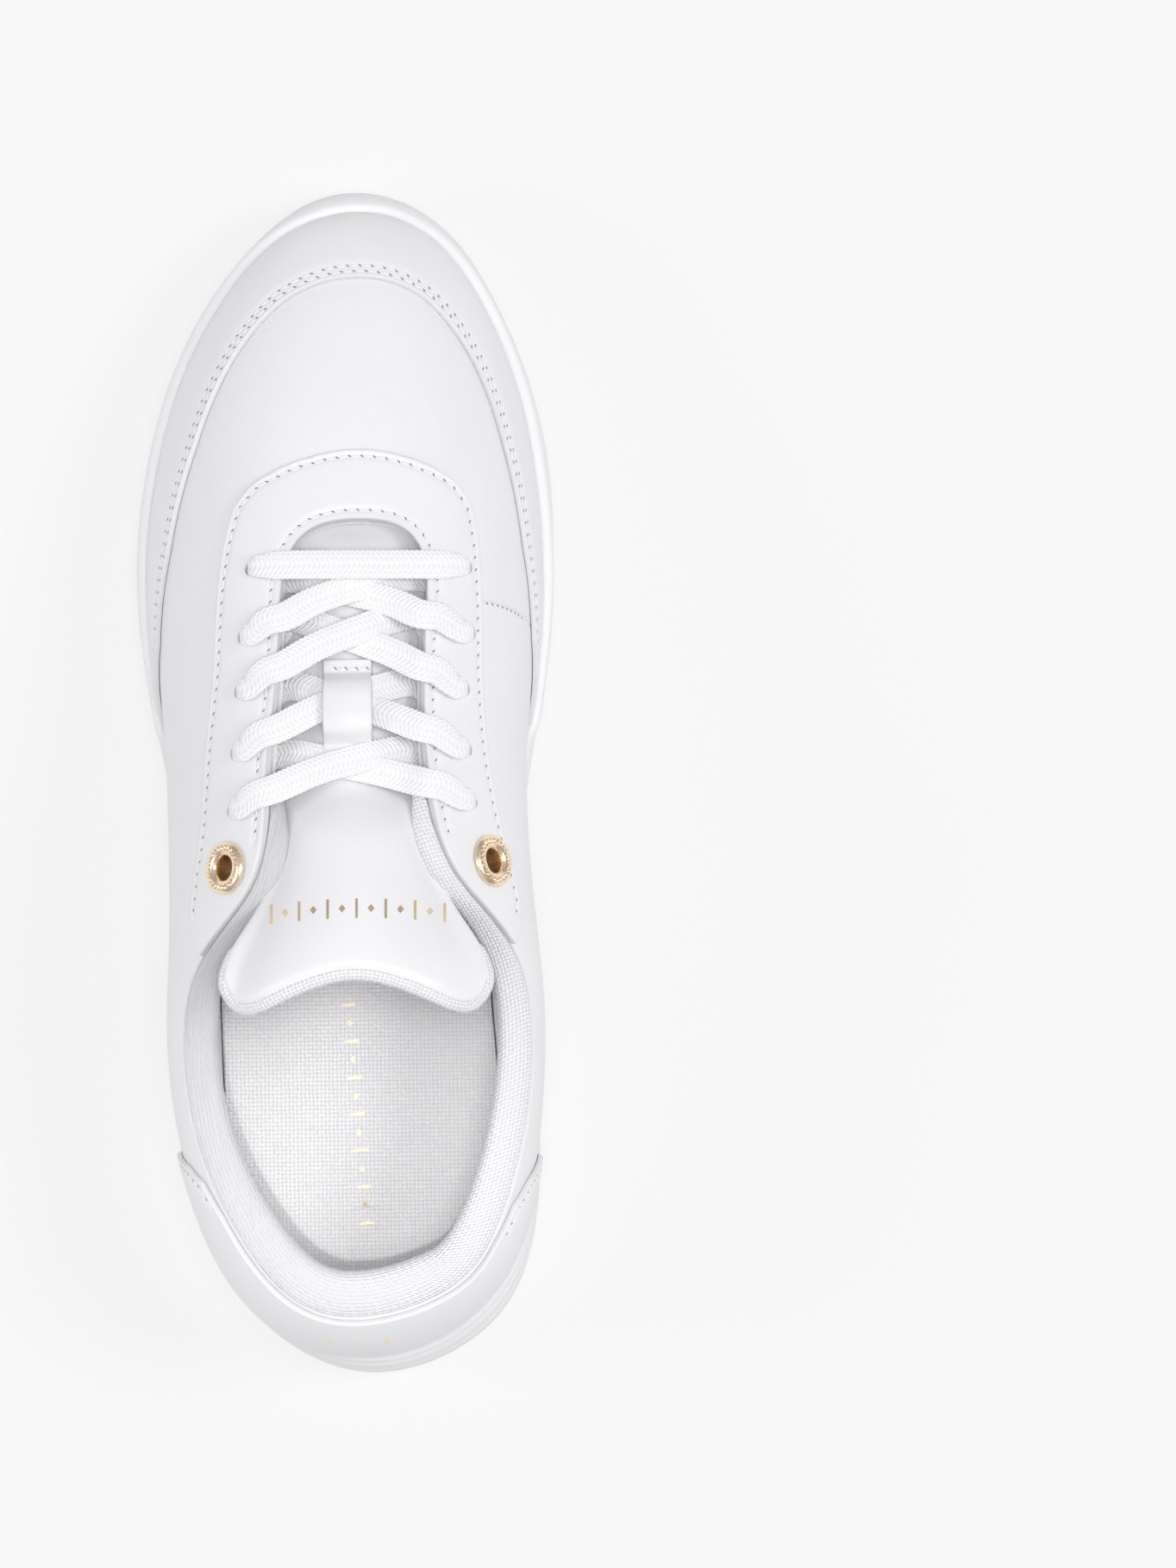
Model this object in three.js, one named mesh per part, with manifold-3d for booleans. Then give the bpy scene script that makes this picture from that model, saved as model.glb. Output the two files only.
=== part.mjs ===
// Left court shoe, millimetres, sole down, +Z up, +Y to the toe, -X the outer (lateral) side.
// Every piece is cut from one shoe surface: SURFACE(u, v) runs round the shoe with u and up it with v.
import * as THREE from 'three';
import { mergeVertices } from 'three/addons/utils/BufferGeometryUtils.js';
import Module from 'manifold-3d';

// Driving dimensions
const LENGTH = 280;
const AXIS_X = 2.95;
const GAP = 0.3;
const LEATHER = 1.3;
const OVERLAY = 1.2;
const LINING = 0.8;
const SOLE_DEPTH = 11;
const OUTSOLE = 4;
const MARGIN = 12;
const BOARD = 1.8;
const FOOTBED = 4;
const COVER = 1;
const LACE_WIDTH = 6.3;
const LACE_THICK = 1.2;
const HOLE = 4.9;
const EYELET = 12.2;
const EYELET_BORE = 5.4;
const PER_STATION = 2;
// Heights up the surface at which every layer has its grid lines, so stacked layers never cross
const LEVELS = [-0.9, -0.55, -0.25, 0, 0.16, 0.34, 0.52, 0.7, 0.86, 1];

// Stations 0 (heel centre) to 12 (toe centre): distance from the axis, distance from the heel, height
const SIDES = 12;
const FEATHER = {
  lateral: [[0.2, 8.3, 29], [-20, 15, 29], [-33, 33, 28.5], [-37.5, 60, 27.5], [-38.5, 92, 26.5],
    [-40, 122, 25.5], [-43.9, 150, 24.5], [-47.6, 175, 23.5], [-47.9, 200, 23], [-42.2, 228.4, 23.5],
    [-32, 250.4, 25], [-18, 266.6, 27], [0.2, 273.5, 27.5]],
  medial: [[0.2, 8.3, 29], [20, 15, 29], [33.5, 33, 28.5], [36.5, 60, 27.5], [34.5, 92, 26.5],
    [35, 122, 25.5], [38, 151, 24.5], [41.4, 176, 23.5], [41.8, 201, 23], [38, 228.4, 23.5],
    [29.7, 251, 25], [17.6, 267.6, 27], [0.2, 273.5, 27.5]],
};
const LOWER = {
  lateral: [[0, 5, 44], [-22, 12, 44], [-37, 31, 43.5], [-44, 60, 42], [-46, 91, 42], [-49, 122, 42],
    [-49.2, 150, 40], [-49.6, 174, 38.5], [-48, 199, 38], [-41.6, 227, 38.5], [-31.6, 248.6, 40],
    [-17.6, 264.6, 43], [0.3, 271.6, 44]],
  medial: [[0, 5, 44], [22, 12.5, 44], [36.5, 31, 44], [42.5, 60, 43], [42.5, 91, 43], [41.8, 122, 43],
    [42.2, 150, 42], [43.6, 174, 40], [43.1, 199, 39], [38.4, 227, 39], [30.4, 249, 40.5],
    [17.8, 265.6, 43], [0.3, 271.6, 44]],
};
const UPPER = {
  lateral: [[-0.5, 7.5, 62], [-22, 14.5, 61], [-37, 36, 58], [-46.5, 64, 54], [-48.5, 94, 59],
    [-45.5, 119, 68], [-42, 146, 68], [-39, 167, 66], [-36, 187, 64.5], [-30, 206, 61.5],
    [-22, 221, 59], [-12, 230, 57.5], [0.7, 234, 57]],
  medial: [[-0.5, 7.5, 62], [22, 14.5, 61], [36.5, 33, 59], [43, 61, 56], [46, 93, 61], [44.5, 120, 70],
    [38.5, 146, 70], [36, 167, 68], [34, 187, 66], [30, 206, 62.5], [23, 221, 59.5], [13, 230, 57.5],
    [0.7, 234, 57]],
};
const TOPLINE = {
  lateral: [[-1, 16.7, 76], [-18, 22.5, 75], [-31.5, 41, 70.5], [-40, 66, 66], [-38, 96, 71],
    [-23.2, 118, 86], [-19.8, 142, 82], [-17.8, 161, 77], [-16.8, 177, 73], [-16, 188, 69.5],
    [-13.2, 195.5, 67], [-7.5, 199.8, 65.3], [1, 201, 64.8]],
  medial: [[-1, 16.7, 76], [17.5, 21.5, 75], [30, 34, 71], [38.8, 63, 67], [37.5, 97.5, 73],
    [22.6, 120, 87], [16.5, 143, 83], [15.8, 161, 78], [16.4, 177, 74], [17, 188, 70],
    [14.8, 195.5, 67.3], [9.5, 199.8, 65.5], [1, 201, 64.8]],
};
const OUTLINE = {
  lateral: [[0.3, 0, 14], [-21, 8.6, 14], [-34.5, 27, 14], [-40.8, 55, 14], [-41.5, 90, 14],
    [-42.5, 120, 14], [-47.5, 148, 14], [-51.7, 178, 14], [-51.9, 202, 14], [-45.5, 227, 14],
    [-35.5, 251.5, 15], [-19.5, 272, 17], [0.3, 280, 18]],
  medial: [[0.3, 0, 14], [22.5, 6.4, 14], [36.5, 23, 14], [41, 52, 14], [38.5, 88, 14], [36.8, 119, 14],
    [40.8, 148, 14], [44.9, 177, 14], [46.2, 202, 14], [43.3, 226.5, 14], [34.3, 251.5, 15],
    [20.5, 272, 17], [0.3, 280, 18]],
};

// Edges of the panels, as height up the shoe surface at each station
const MUDGUARD_EDGE = [[6.1, 0.07], [6.6, 0.22], [7, 0.3], [8, 0.38], [9, 0.4], [10, 0.38], [11, 0.37], [12, 0.38]];
const EYESTAY_EDGE = [[4.2, 0.98], [4.4, 0.86], [4.7, 0.77], [5, 0.74], [6, 0.74], [7, 0.745], [8, 0.73],
  [9, 0.735], [10, 0.765], [11, 0.81], [12, 0.835]];
const HEEL_PATCH_EDGE = [[0, 0.86], [1, 0.84], [2, 0.76], [2.5, 0.66], [2.75, 0.5]];
const SEAM = 7.4;
const COLLAR_END = 5.45;
const FOAM_END = 4.6;
const COLLAR_WIDTH = [[0, 11.5], [1, 11], [2, 10], [3, 9], [4, 7.6], [5, 5.4], [5.5, 4.6]];
const COLLAR_HEIGHT = [[0, 7], [1, 6.6], [2, 6], [3, 5.5], [4, 5], [5, 3.4], [5.5, 2.6]];

// Lace holes from the toe to the ankle, and the metal eyelets: distance from the axis and from the heel
const HOLES = {
  lateral: [[-22.9, 189.7], [-24.7, 174], [-25.5, 161.4], [-26.5, 147.2], [-27.3, 134]],
  medial: [[25.4, 189.5], [26, 174.2], [24.5, 161.3], [24.8, 147.2], [26, 135.2]],
};
const EYELETS = { lateral: [-28.6, 120.8], medial: [30, 121.4] };
const LACE_EXITS = [189, 180.3, 164.5, 148.8];

// ---------- curves and the shoe surface ----------
function splineThrough(points) {
  const n = points.length;
  const control = points.map((p) => [...p]);
  for (let pass = 0; pass < 24; pass += 1) {
    for (let i = 0; i < n; i += 1) {
      const before = control[(i + n - 1) % n];
      const after = control[(i + 1) % n];
      for (let k = 0; k < 3; k += 1) {
        control[i][k] += points[i][k] - (before[k] + 4 * control[i][k] + after[k]) / 6;
      }
    }
  }
  return (u) => {
    const base = Math.floor(u);
    const f = u - base;
    const weights = [(1 - f) ** 3, 3 * f ** 3 - 6 * f * f + 4, -3 * f ** 3 + 3 * f * f + 3 * f + 1, f ** 3];
    const result = new THREE.Vector3();
    weights.forEach((weight, k) => {
      const c = control[(((base + k - 1) % n) + n) % n];
      result.addScaledVector(new THREE.Vector3(c[0], c[1], c[2]), weight / 6);
    });
    return result;
  };
}

function loop(rows) {
  const back = rows.medial.slice(1, SIDES).reverse();
  const points = [...rows.lateral, ...back];
  return splineThrough(points.map(([w, y, z]) => [w + AXIS_X, y - LENGTH / 2, z]));
}

const feather = loop(FEATHER);
const lower = loop(LOWER);
const upper = loop(UPPER);
const topline = loop(TOPLINE);
const outline = loop(OUTLINE);

const station = (u) => {
  const wrapped = ((u % (2 * SIDES)) + 2 * SIDES) % (2 * SIDES);
  return wrapped > SIDES ? 2 * SIDES - wrapped : wrapped;
};

function along(table, t) {
  if (t <= table[0][0]) return table[0][1];
  for (let i = 1; i < table.length; i += 1) {
    const [t1, v1] = table[i];
    const [t0, v0] = table[i - 1];
    if (t <= t1) return v0 + ((v1 - v0) * (t - t0)) / (t1 - t0);
  }
  return table[table.length - 1][1];
}

function bezier(a, b, c, d, v) {
  const w = 1 - v;
  const result = a.clone().multiplyScalar(w ** 3);
  result.addScaledVector(b, 3 * w * w * v);
  result.addScaledVector(c, 3 * w * v * v);
  return result.addScaledVector(d, v ** 3);
}

function outward(curve, u) {
  const step = 0.02;
  const tangent = curve(u + step).sub(curve(u - step));
  return new THREE.Vector3(-tangent.y, tangent.x, 0).normalize();
}

// Below v = 0 the upper runs down inside the cup and folds in under the lasting board
function surface(u, v) {
  const foot = feather(u);
  if (v >= 0) return bezier(foot, lower(u), upper(u), topline(u), v);
  const out = outward(feather, u);
  const down = (depth, inset) => foot.clone().add(new THREE.Vector3(0, 0, -depth)).addScaledVector(out, -inset);
  return bezier(foot, down(SOLE_DEPTH, 0), down(SOLE_DEPTH, 1), down(SOLE_DEPTH, MARGIN), -v);
}

function normalOf(face, u, v) {
  const step = 0.01;
  const du = face(u + step, v).sub(face(u - step, v));
  const dv = face(u, v + step).sub(face(u, v - step));
  return dv.cross(du).normalize();
}

function offsetPoint(face, u, v, distance) {
  return face(u, v).addScaledVector(normalOf(face, u, v), distance);
}

// The station and height whose plan position is (w, y), by Newton steps
function locate(w, y) {
  const target = new THREE.Vector2(w + AXIS_X, y - LENGTH / 2);
  let u = w < 1 ? 7 : 2 * SIDES - 7;
  let v = 0.85;
  for (let pass = 0; pass < 40; pass += 1) {
    const here = surface(u, v);
    const du = surface(u + 0.01, v).sub(here).multiplyScalar(100);
    const dv = surface(u, v + 0.01).sub(here).multiplyScalar(100);
    const det = du.x * dv.y - du.y * dv.x;
    const ex = target.x - here.x;
    const ey = target.y - here.y;
    u += THREE.MathUtils.clamp((ex * dv.y - ey * dv.x) / det, -0.6, 0.6);
    v += THREE.MathUtils.clamp((du.x * ey - du.y * ex) / det, -0.15, 0.15);
    v = THREE.MathUtils.clamp(v, 0.05, 1.15);
  }
  return { u, v };
}

// ---------- solids ----------
function geometryFrom(points, faces) {
  const geometry = new THREE.BufferGeometry();
  const positions = points.flatMap((p) => [p.x, p.y, p.z]);
  geometry.setAttribute('position', new THREE.Float32BufferAttribute(positions, 3));
  geometry.setIndex(faces.flat());
  return facingOut(geometry);
}

function facingOut(geometry) {
  const p = geometry.attributes.position;
  const index = geometry.index;
  let volume = 0;
  const [a, b, c] = [new THREE.Vector3(), new THREE.Vector3(), new THREE.Vector3()];
  for (let i = 0; i < index.count; i += 3) {
    a.fromBufferAttribute(p, index.getX(i));
    b.fromBufferAttribute(p, index.getX(i + 1));
    c.fromBufferAttribute(p, index.getX(i + 2));
    volume += a.dot(b.cross(c));
  }
  if (volume < 0) {
    for (let i = 0; i < index.count; i += 3) {
      const keep = index.getX(i);
      index.setX(i, index.getX(i + 1));
      index.setX(i + 1, keep);
    }
  }
  return geometry;
}

function quad(a, b, c, d) {
  return [[a, b, c], [a, c, d]];
}

// Two matching grids of points joined round their borders
function shell(outer, inner) {
  const columns = outer.length;
  const rows = outer[0].length;
  const points = [...outer.flat(), ...inner.flat()];
  const at = (side, i, j) => side * columns * rows + i * rows + j;
  const faces = [];
  for (let i = 0; i + 1 < columns; i += 1) {
    for (let j = 0; j + 1 < rows; j += 1) {
      faces.push(...quad(at(0, i, j), at(0, i + 1, j), at(0, i + 1, j + 1), at(0, i, j + 1)));
      faces.push(...quad(at(1, i, j), at(1, i, j + 1), at(1, i + 1, j + 1), at(1, i + 1, j)));
    }
    faces.push(...quad(at(0, i, 0), at(1, i, 0), at(1, i + 1, 0), at(0, i + 1, 0)));
    const top = rows - 1;
    faces.push(...quad(at(0, i, top), at(0, i + 1, top), at(1, i + 1, top), at(1, i, top)));
  }
  for (let j = 0; j + 1 < rows; j += 1) {
    const last = columns - 1;
    faces.push(...quad(at(0, 0, j), at(0, 0, j + 1), at(1, 0, j + 1), at(1, 0, j)));
    faces.push(...quad(at(0, last, j), at(1, last, j), at(1, last, j + 1), at(0, last, j + 1)));
  }
  return geometryFrom(points, faces);
}

function spread(from, to, count) {
  return Array.from({ length: count + 1 }, (_, i) => from + ((to - from) * i) / count);
}

function gridLines(u0, u1) {
  const lines = [];
  for (let k = Math.ceil(u0 * PER_STATION); k <= u1 * PER_STATION; k += 1) {
    const u = k / PER_STATION;
    if (u > u0 + 0.06 && u < u1 - 0.06) lines.push(u);
  }
  return [u0, ...lines, u1];
}

// A panel of the surface from u0 to u1, between two edges, from offset near to offset far
function panel({ u0, u1, low, high, near, far }) {
  const columns = gridLines(u0, u1);
  const edges = columns.map((u) => [low(station(u)), high(station(u))]);
  const floor = Math.min(...edges.map((e) => e[0]));
  const roof = Math.max(...edges.map((e) => e[1]));
  const levels = [floor, ...LEVELS.filter((v) => v > floor + 0.02 && v < roof - 0.02), roof];
  const sheet = (distance) => columns.map((u, i) => levels.map((v, j) => {
    const least = edges[i][0] + 0.004 * j;
    const most = edges[i][1] - 0.004 * (levels.length - 1 - j);
    return offsetPoint(surface, u, Math.max(least, Math.min(most, v)), distance);
  }));
  return shell(sheet(near), sheet(far));
}

// A body of stacked closed rings, closed below the first and above the last ring
function ringBody(rings) {
  const n = rings[0].length;
  const faces = [];
  for (let r = 0; r + 1 < rings.length; r += 1) {
    for (let i = 0; i < n; i += 1) {
      const j = (i + 1) % n;
      faces.push(...quad(r * n + i, r * n + j, (r + 1) * n + j, (r + 1) * n + i));
    }
  }
  for (const [start, flip] of [[0, true], [(rings.length - 1) * n, false]]) {
    for (let i = 0; i < n / 2; i += 1) {
      const left = [start + i, start + i + 1];
      const right = [start + ((n - i) % n), start + n - i - 1];
      const ladder = [];
      if (left[1] !== right[1]) ladder.push([left[0], left[1], right[1]]);
      if (left[0] !== right[0]) ladder.push([left[0], right[1], right[0]]);
      faces.push(...ladder.map((f) => (flip ? [f[0], f[2], f[1]] : f)));
    }
  }
  return geometryFrom(rings.flat(), faces);
}

const RING = spread(0, 2 * SIDES, 2 * SIDES * 2).slice(0, -1);

function ring(curve, distance, height) {
  return RING.map((u) => {
    const p = curve(u).addScaledVector(outward(curve, u), distance);
    p.z = height(u, p);
    return p;
  });
}

// ---------- sole unit ----------
const toeSpring = (y) => 6 * Math.max(0, (y + LENGTH / 2 - 205) / 75) ** 2;
const lastHeight = (u) => feather(u).z - SOLE_DEPTH;

// Room between the upper and the cup wall: wider where an overlay runs down inside it
function cupRoom(u) {
  const t = station(u);
  return t > 5.9 || t < 3.2 ? OVERLAY + 3 * GAP : 2 * GAP;
}

function cupRing(extra, height) {
  return RING.map((u) => {
    const p = feather(u).addScaledVector(outward(feather, u), cupRoom(u) + extra);
    p.z = height(u, p);
    return p;
  });
}

function outsole() {
  const tread = (rise) => (u, p) => toeSpring(p.y) + rise;
  return ringBody([
    ring(outline, -4.5, tread(0)),
    ring(outline, -1.8, tread(1.6)),
    ring(outline, -0.3, tread(7)),
    ring(outline, 0, (u) => outline(u).z),
    cupRing(2, (u) => feather(u).z - 1.6),
    cupRing(1.3, (u) => feather(u).z - 0.6),
    cupRing(0, (u) => feather(u).z - 0.8),
    cupRing(0, tread(OUTSOLE)),
  ]);
}

function filler() {
  return ringBody([
    cupRing(-GAP, (u, p) => toeSpring(p.y) + OUTSOLE + GAP),
    cupRing(-GAP, (u) => lastHeight(u) - GAP),
  ]);
}

function innerPlate(inset, bottom, top) {
  return ringBody([
    ring(feather, -inset, (u) => lastHeight(u) + bottom),
    ring(feather, -inset, (u) => lastHeight(u) + top),
  ]);
}

// ---------- upper ----------
const both = (t0) => ({ u0: t0, u1: 2 * SIDES - t0 });
const flat = (v) => () => v;
const edge = (table) => (t) => along(table, t);

function quarter(side) {
  const heel = side > 0 ? 0.007 : -0.007;
  const front = side > 0 ? SEAM - 0.008 : -(SEAM - 0.008);
  const [u0, u1] = side > 0 ? [heel, front] : [front, heel];
  return panel({ u0, u1, low: flat(-0.9), high: flat(1), near: 0, far: -LEATHER });
}

// Collar lining: tucked behind the leather edge, over the padded roll and down to the footbed
function collarDepth(u, v) {
  const ease = THREE.MathUtils.smoothstep(v, 0.2, 1);
  return 4.3 + (along(COLLAR_WIDTH, station(u)) - 4.3) * ease;
}

function collarFace(u, w) {
  const tuck = 1.6;
  if (w < 0.12) return offsetPoint(surface, u, 0.86 + (0.14 * w) / 0.12, -tuck);
  if (w > 0.45) {
    const v = 1 - (1.4 * (w - 0.45)) / 0.55;
    return offsetPoint(surface, u, v, -collarDepth(u, v));
  }
  const phi = (Math.PI * (w - 0.12)) / 0.33;
  const depth = tuck + ((collarDepth(u, 1) - tuck) * (1 - Math.cos(phi))) / 2;
  const up = surface(u, 1).sub(surface(u, 0.99)).normalize();
  const rise = along(COLLAR_HEIGHT, station(u)) * Math.sin(phi);
  return offsetPoint(surface, u, 1, -depth).addScaledVector(up, rise);
}

function collarLining() {
  const inside = LEVELS.filter((v) => v > -0.24 && v < 1).map((v) => 0.45 + (0.55 * (1 - v)) / 1.4).reverse();
  const steps = [0.001, 0.12, 0.19, 0.245, 0.325, 0.385, 0.45, ...inside, 0.985];
  const columns = gridLines(-COLLAR_END, COLLAR_END);
  const sheet = (distance) => columns.map((u) => steps.map((w) => offsetPoint(collarFace, u, w, distance)));
  return shell(sheet(0), sheet(-LINING));
}

function collarFoam() {
  const columns = gridLines(-FOAM_END, FOAM_END);
  const heights = [0.52, 0.7, 0.86, 1];
  const outer = columns.map((u) => heights.map((v) => offsetPoint(surface, u, v, -3.3)));
  const inner = columns.map((u) => heights.map((v) => {
    const depth = collarDepth(u, v) - LINING - GAP - 0.05;
    return offsetPoint(surface, u, v, -Math.max(depth, 3.9));
  }));
  columns.forEach((u, i) => {
    for (const phi of [0.3, 0.5]) {
      const inside = (w) => offsetPoint(collarFace, u, w, -LINING - GAP - 0.1);
      outer[i].push(inside(0.12 + 0.33 * phi));
      inner[i].push(inside(0.45 - 0.33 * (phi - 0.15)));
    }
  });
  return shell(outer, inner);
}

// ---------- tongue ----------
const LINING_DEPTH = 2.5;
const FACING = LINING_DEPTH + LINING;
const TONGUE_DROP = FACING + 7 * GAP + LACE_THICK;
const TONGUE_WIDTH = [[131, 24], [148, 25], [170, 25.5], [190, 24], [204, 18], [210, 14]];
const FLAP = [[90, 28.5, 99, 109], [97, 28.5, 96, 108.5], [104, 25.5, 91, 105], [112, 20.3, 90, 101],
  [121, 16.2, 88.5, 96.2], [129, 13.6, 86, 92]];
const HINGE_Y = 130.2;

function throatEdge(side, y) {
  let [near, far] = side < 0 ? [5, 11.9] : [12.1, 19];
  for (let pass = 0; pass < 30; pass += 1) {
    const middle = (near + far) / 2;
    const beyond = topline(middle).y < y - LENGTH / 2;
    if (beyond === side < 0) near = middle;
    else far = middle;
  }
  return topline((near + far) / 2).x - AXIS_X;
}

function underFacing(w, y, extra = 0) {
  const { u, v } = locate(w, y);
  return offsetPoint(surface, u, v, -TONGUE_DROP - extra);
}

// Five points across the lower tongue: two under each facing and the crown between them
function tongueRow(y) {
  const width = along(TONGUE_WIDTH, y);
  const deeper = 2.2 * THREE.MathUtils.smoothstep(-y, -150, -138);
  if (y > 198) {
    return [-1, -0.55, 0.03, 0.6, 1].map((s) => underFacing(s * width, Math.max(y, s === 0.03 ? 202 : y), deeper));
  }
  const left = underFacing(throatEdge(-1, y) - 1.2, y, deeper);
  const right = underFacing(throatEdge(1, y) + 1.2, y, deeper);
  const crown = left.clone().add(right).multiplyScalar(0.5);
  crown.z += 2.6 + 2.4 * THREE.MathUtils.smoothstep(-y, -180, -131);
  crown.y = y - LENGTH / 2;
  return [underFacing(-width, y, deeper), left, crown, right, underFacing(width, y, deeper)];
}

function flapRow(y) {
  const width = along(FLAP.map((r) => [r[0], r[1]]), y);
  const low = along(FLAP.map((r) => [r[0], r[2]]), y);
  const high = along(FLAP.map((r) => [r[0], r[3]]), y);
  const point = (s, z) => new THREE.Vector3(s * width + AXIS_X + 0.6, y - LENGTH / 2, z);
  const shoulder = high - (high - low) * 0.3;
  return [point(-1, low), point(-0.6, shoulder), point(0, high), point(0.6, shoulder), point(1, low)];
}

function across(row, s) {
  return new THREE.CatmullRomCurve3(row, false, 'centripetal').getPoint((s + 1) / 2);
}

// Free end of the flap: its corners reach further back than its middle
function flapPoint(q, s) {
  const back = 97.5 - 7 * Math.exp(-(((Math.abs(s) - 0.78) / 0.2) ** 2));
  const y = 129 - (129 - back) * q;
  const p = across(flapRow(129 - 31.5 * q), s);
  p.y = y - LENGTH / 2;
  return p;
}

function lowerPoint(q, s) {
  return across(tongueRow(210 - 78.6 * q), s);
}

function tongueLayer(face, near, far, rows, columns) {
  const sheet = (depth) => spread(0.001, 0.999, rows).map((q) => spread(-0.999, 0.999, columns).map((s) => {
    const point = face(q, s);
    const dq = face(q + 0.001, s).sub(face(q - 0.001, s));
    const ds = face(q, s + 0.001).sub(face(q, s - 0.001));
    return point.addScaledVector(ds.cross(dq).normalize(), depth(q));
  }));
  return shell(sheet(near), sheet(far));
}

function tongueSet(name, face, foamAt, rows) {
  const flip = Math.sign(faceNormalZ(face));
  const layers = [
    [`${name}_leather`, () => 0, () => -1],
    [`${name}_foam`, () => -1 - GAP, (q) => -1 - GAP - foamAt(q)],
    [`${name}_lining`, (q) => -1 - 2 * GAP - foamAt(q), (q) => -1 - 2 * GAP - foamAt(q) - 0.7],
  ];
  return layers.map(([label, near, far]) => [label,
    tongueLayer(face, (q) => flip * near(q), (q) => flip * far(q), rows, 8)]);
}

function faceNormalZ(face) {
  const dq = face(0.51, 0).sub(face(0.5, 0));
  const ds = face(0.5, 0.01).sub(face(0.5, 0));
  return ds.cross(dq).z;
}

function tongueTop(w, y) {
  const row = tongueRow(y);
  let best = row[2];
  for (const s of spread(-1, 1, 80)) {
    const p = across(row, s);
    if (Math.abs(p.x - AXIS_X - w) < Math.abs(best.x - AXIS_X - w)) best = p;
  }
  return new THREE.Vector3(w + AXIS_X, y - LENGTH / 2, best.z);
}

function keeper() {
  const rises = [[149.2, GAP], [150.3, GAP], [151.3, 4.8], [153.5, 5.2], [161.8, 5.2], [164, 4.8], [165.2, GAP],
    [167, GAP]];
  const sheet = (extra) => rises.map(([y, rise]) => spread(-6.9, 4.2, 4).map((w) => {
    const p = tongueTop(w, y);
    p.z += rise + extra;
    return p;
  }));
  return shell(sheet(1.2), sheet(0));
}

// ---------- lace ----------
function facingPoint(side, row, distance, inward = 0) {
  const [w, y] = HOLES[side][row];
  const toAxis = side === 'lateral' ? 1 : -1;
  const { u, v } = locate(w + toAxis * inward, y);
  const hole = locate(w, y);
  const normal = normalOf(surface, hole.u, hole.v);
  return surface(u, v).addScaledVector(normal, distance);
}

const LACE_OVER = OVERLAY + 3 * GAP + LACE_THICK / 2;
const LACE_UNDER = -(FACING + 3 * GAP + LACE_THICK / 2);
const INSTEP = new THREE.Vector3(0, 0.955, -0.295);

function overTongue(w, y, layer) {
  const p = tongueTop(w, y);
  p.z += GAP + LACE_THICK / 2 + layer * (LACE_THICK + GAP);
  return p;
}

// From under one facing, out at the throat edge, across the tongue and into the next hole opposite
function strap(from, row) {
  const to = from === 'medial' ? 'lateral' : 'medial';
  const side = from === 'medial' ? 1 : -1;
  const exitY = LACE_EXITS[row];
  const [endW, endY] = HOLES[to][row + 1];
  const edgeW = throatEdge(side, exitY);
  const yAt = (w) => exitY + ((endY - exitY) * (edgeW - w)) / (edgeW - endW);
  const farW = throatEdge(-side, yAt(-side * 16.5));
  const layers = from === 'medial' ? [0.4, 1.7, 1.6, 1.3] : [0.4, 0.2, 0.9, 1.3];
  const nearEdge = underFacing(edgeW + side * 1.5, exitY);
  nearEdge.z += 2 * GAP + LACE_THICK / 2;
  const over = locate(farW - side * 1.8, yAt(farW));
  const rim = topline(over.u).addScaledVector(normalOf(surface, over.u, 0.98), LACE_OVER + 0.3);
  rim.x += side * 0.6;
  return [
    nearEdge,
    overTongue(side * 13, yAt(side * 13), layers[0]),
    overTongue(side * 9, yAt(side * 9), layers[1]),
    overTongue(side * 1, yAt(side * 1), layers[1]),
    overTongue(-side * 6, yAt(-side * 6), layers[2]),
    overTongue(-side * 10.5, yAt(-side * 10.5), layers[3] + 0.6),
    rim,
    offsetPoint(surface, over.u, over.v, LACE_OVER + 0.2),
  ];
}

function throughHole(side, row) {
  return [
    facingPoint(side, row, LACE_OVER + 0.5, 3.6),
    facingPoint(side, row, LACE_OVER + 0.3, 1.5),
    facingPoint(side, row, 0.7, 0),
    facingPoint(side, row, 1 - FACING, 0),
    facingPoint(side, row, LACE_UNDER + 0.2, 0.6),
    facingPoint(side, row, LACE_UNDER - 0.4, 2.2),
    facingPoint(side, row, LACE_UNDER - 0.1, 4.4),
  ];
}

function tail(side) {
  const flip = (t) => (side === 'lateral' ? t : 2 * SIDES - t);
  const spots = [[5.9, 0.8, 5.6], [6.15, 0.7, 6.8], [6.6, 0.52, 7], [7.2, 0.4, 7], [7.8, 0.32, 7],
    [8.3, 0.28, 7.4], [8.6, 0.26, 8.4], [8.7, 0.25, 8.9]];
  return spots.map(([t, v, depth]) => offsetPoint(surface, flip(t), v, -depth));
}

function lacePath() {
  const side = (start) => {
    const points = [];
    let here = start;
    for (let row = 0; row < 4; row += 1) {
      points.push(...throughHole(here, row), ...strap(here, row));
      here = here === 'medial' ? 'lateral' : 'medial';
    }
    const out = throughHole(here, 4).slice(0, 5);
    return [...points, ...out, ...tail(here)];
  };
  const bar = [facingPoint('lateral', 0, LACE_OVER + 1, 9), facingPoint('medial', 0, LACE_OVER + 1, 9)];
  return [...side('lateral').reverse(), ...bar, ...side('medial')];
}


// Width direction of the flat lace: along the shoe, square to its path
function laceFrames(points) {
  const last = points.length - 1;
  const tangents = points.map((p, i) => points[Math.min(i + 1, last)].clone().sub(points[Math.max(i - 1, 0)]).normalize());
  const known = tangents.map((t) => Math.abs(t.y) < 0.8);
  return points.map((p, i) => {
    let reach = 0;
    while (!known[i - reach] && !known[i + reach]) reach += 1;
    const j = known[i - reach] ? i - reach : i + reach;
    const wide = INSTEP.clone().addScaledVector(tangents[j], -tangents[j].dot(INSTEP));
    wide.addScaledVector(tangents[i], -wide.dot(tangents[i])).normalize();
    return { p, wide, thick: tangents[i].clone().cross(wide).normalize() };
  });
}

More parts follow.
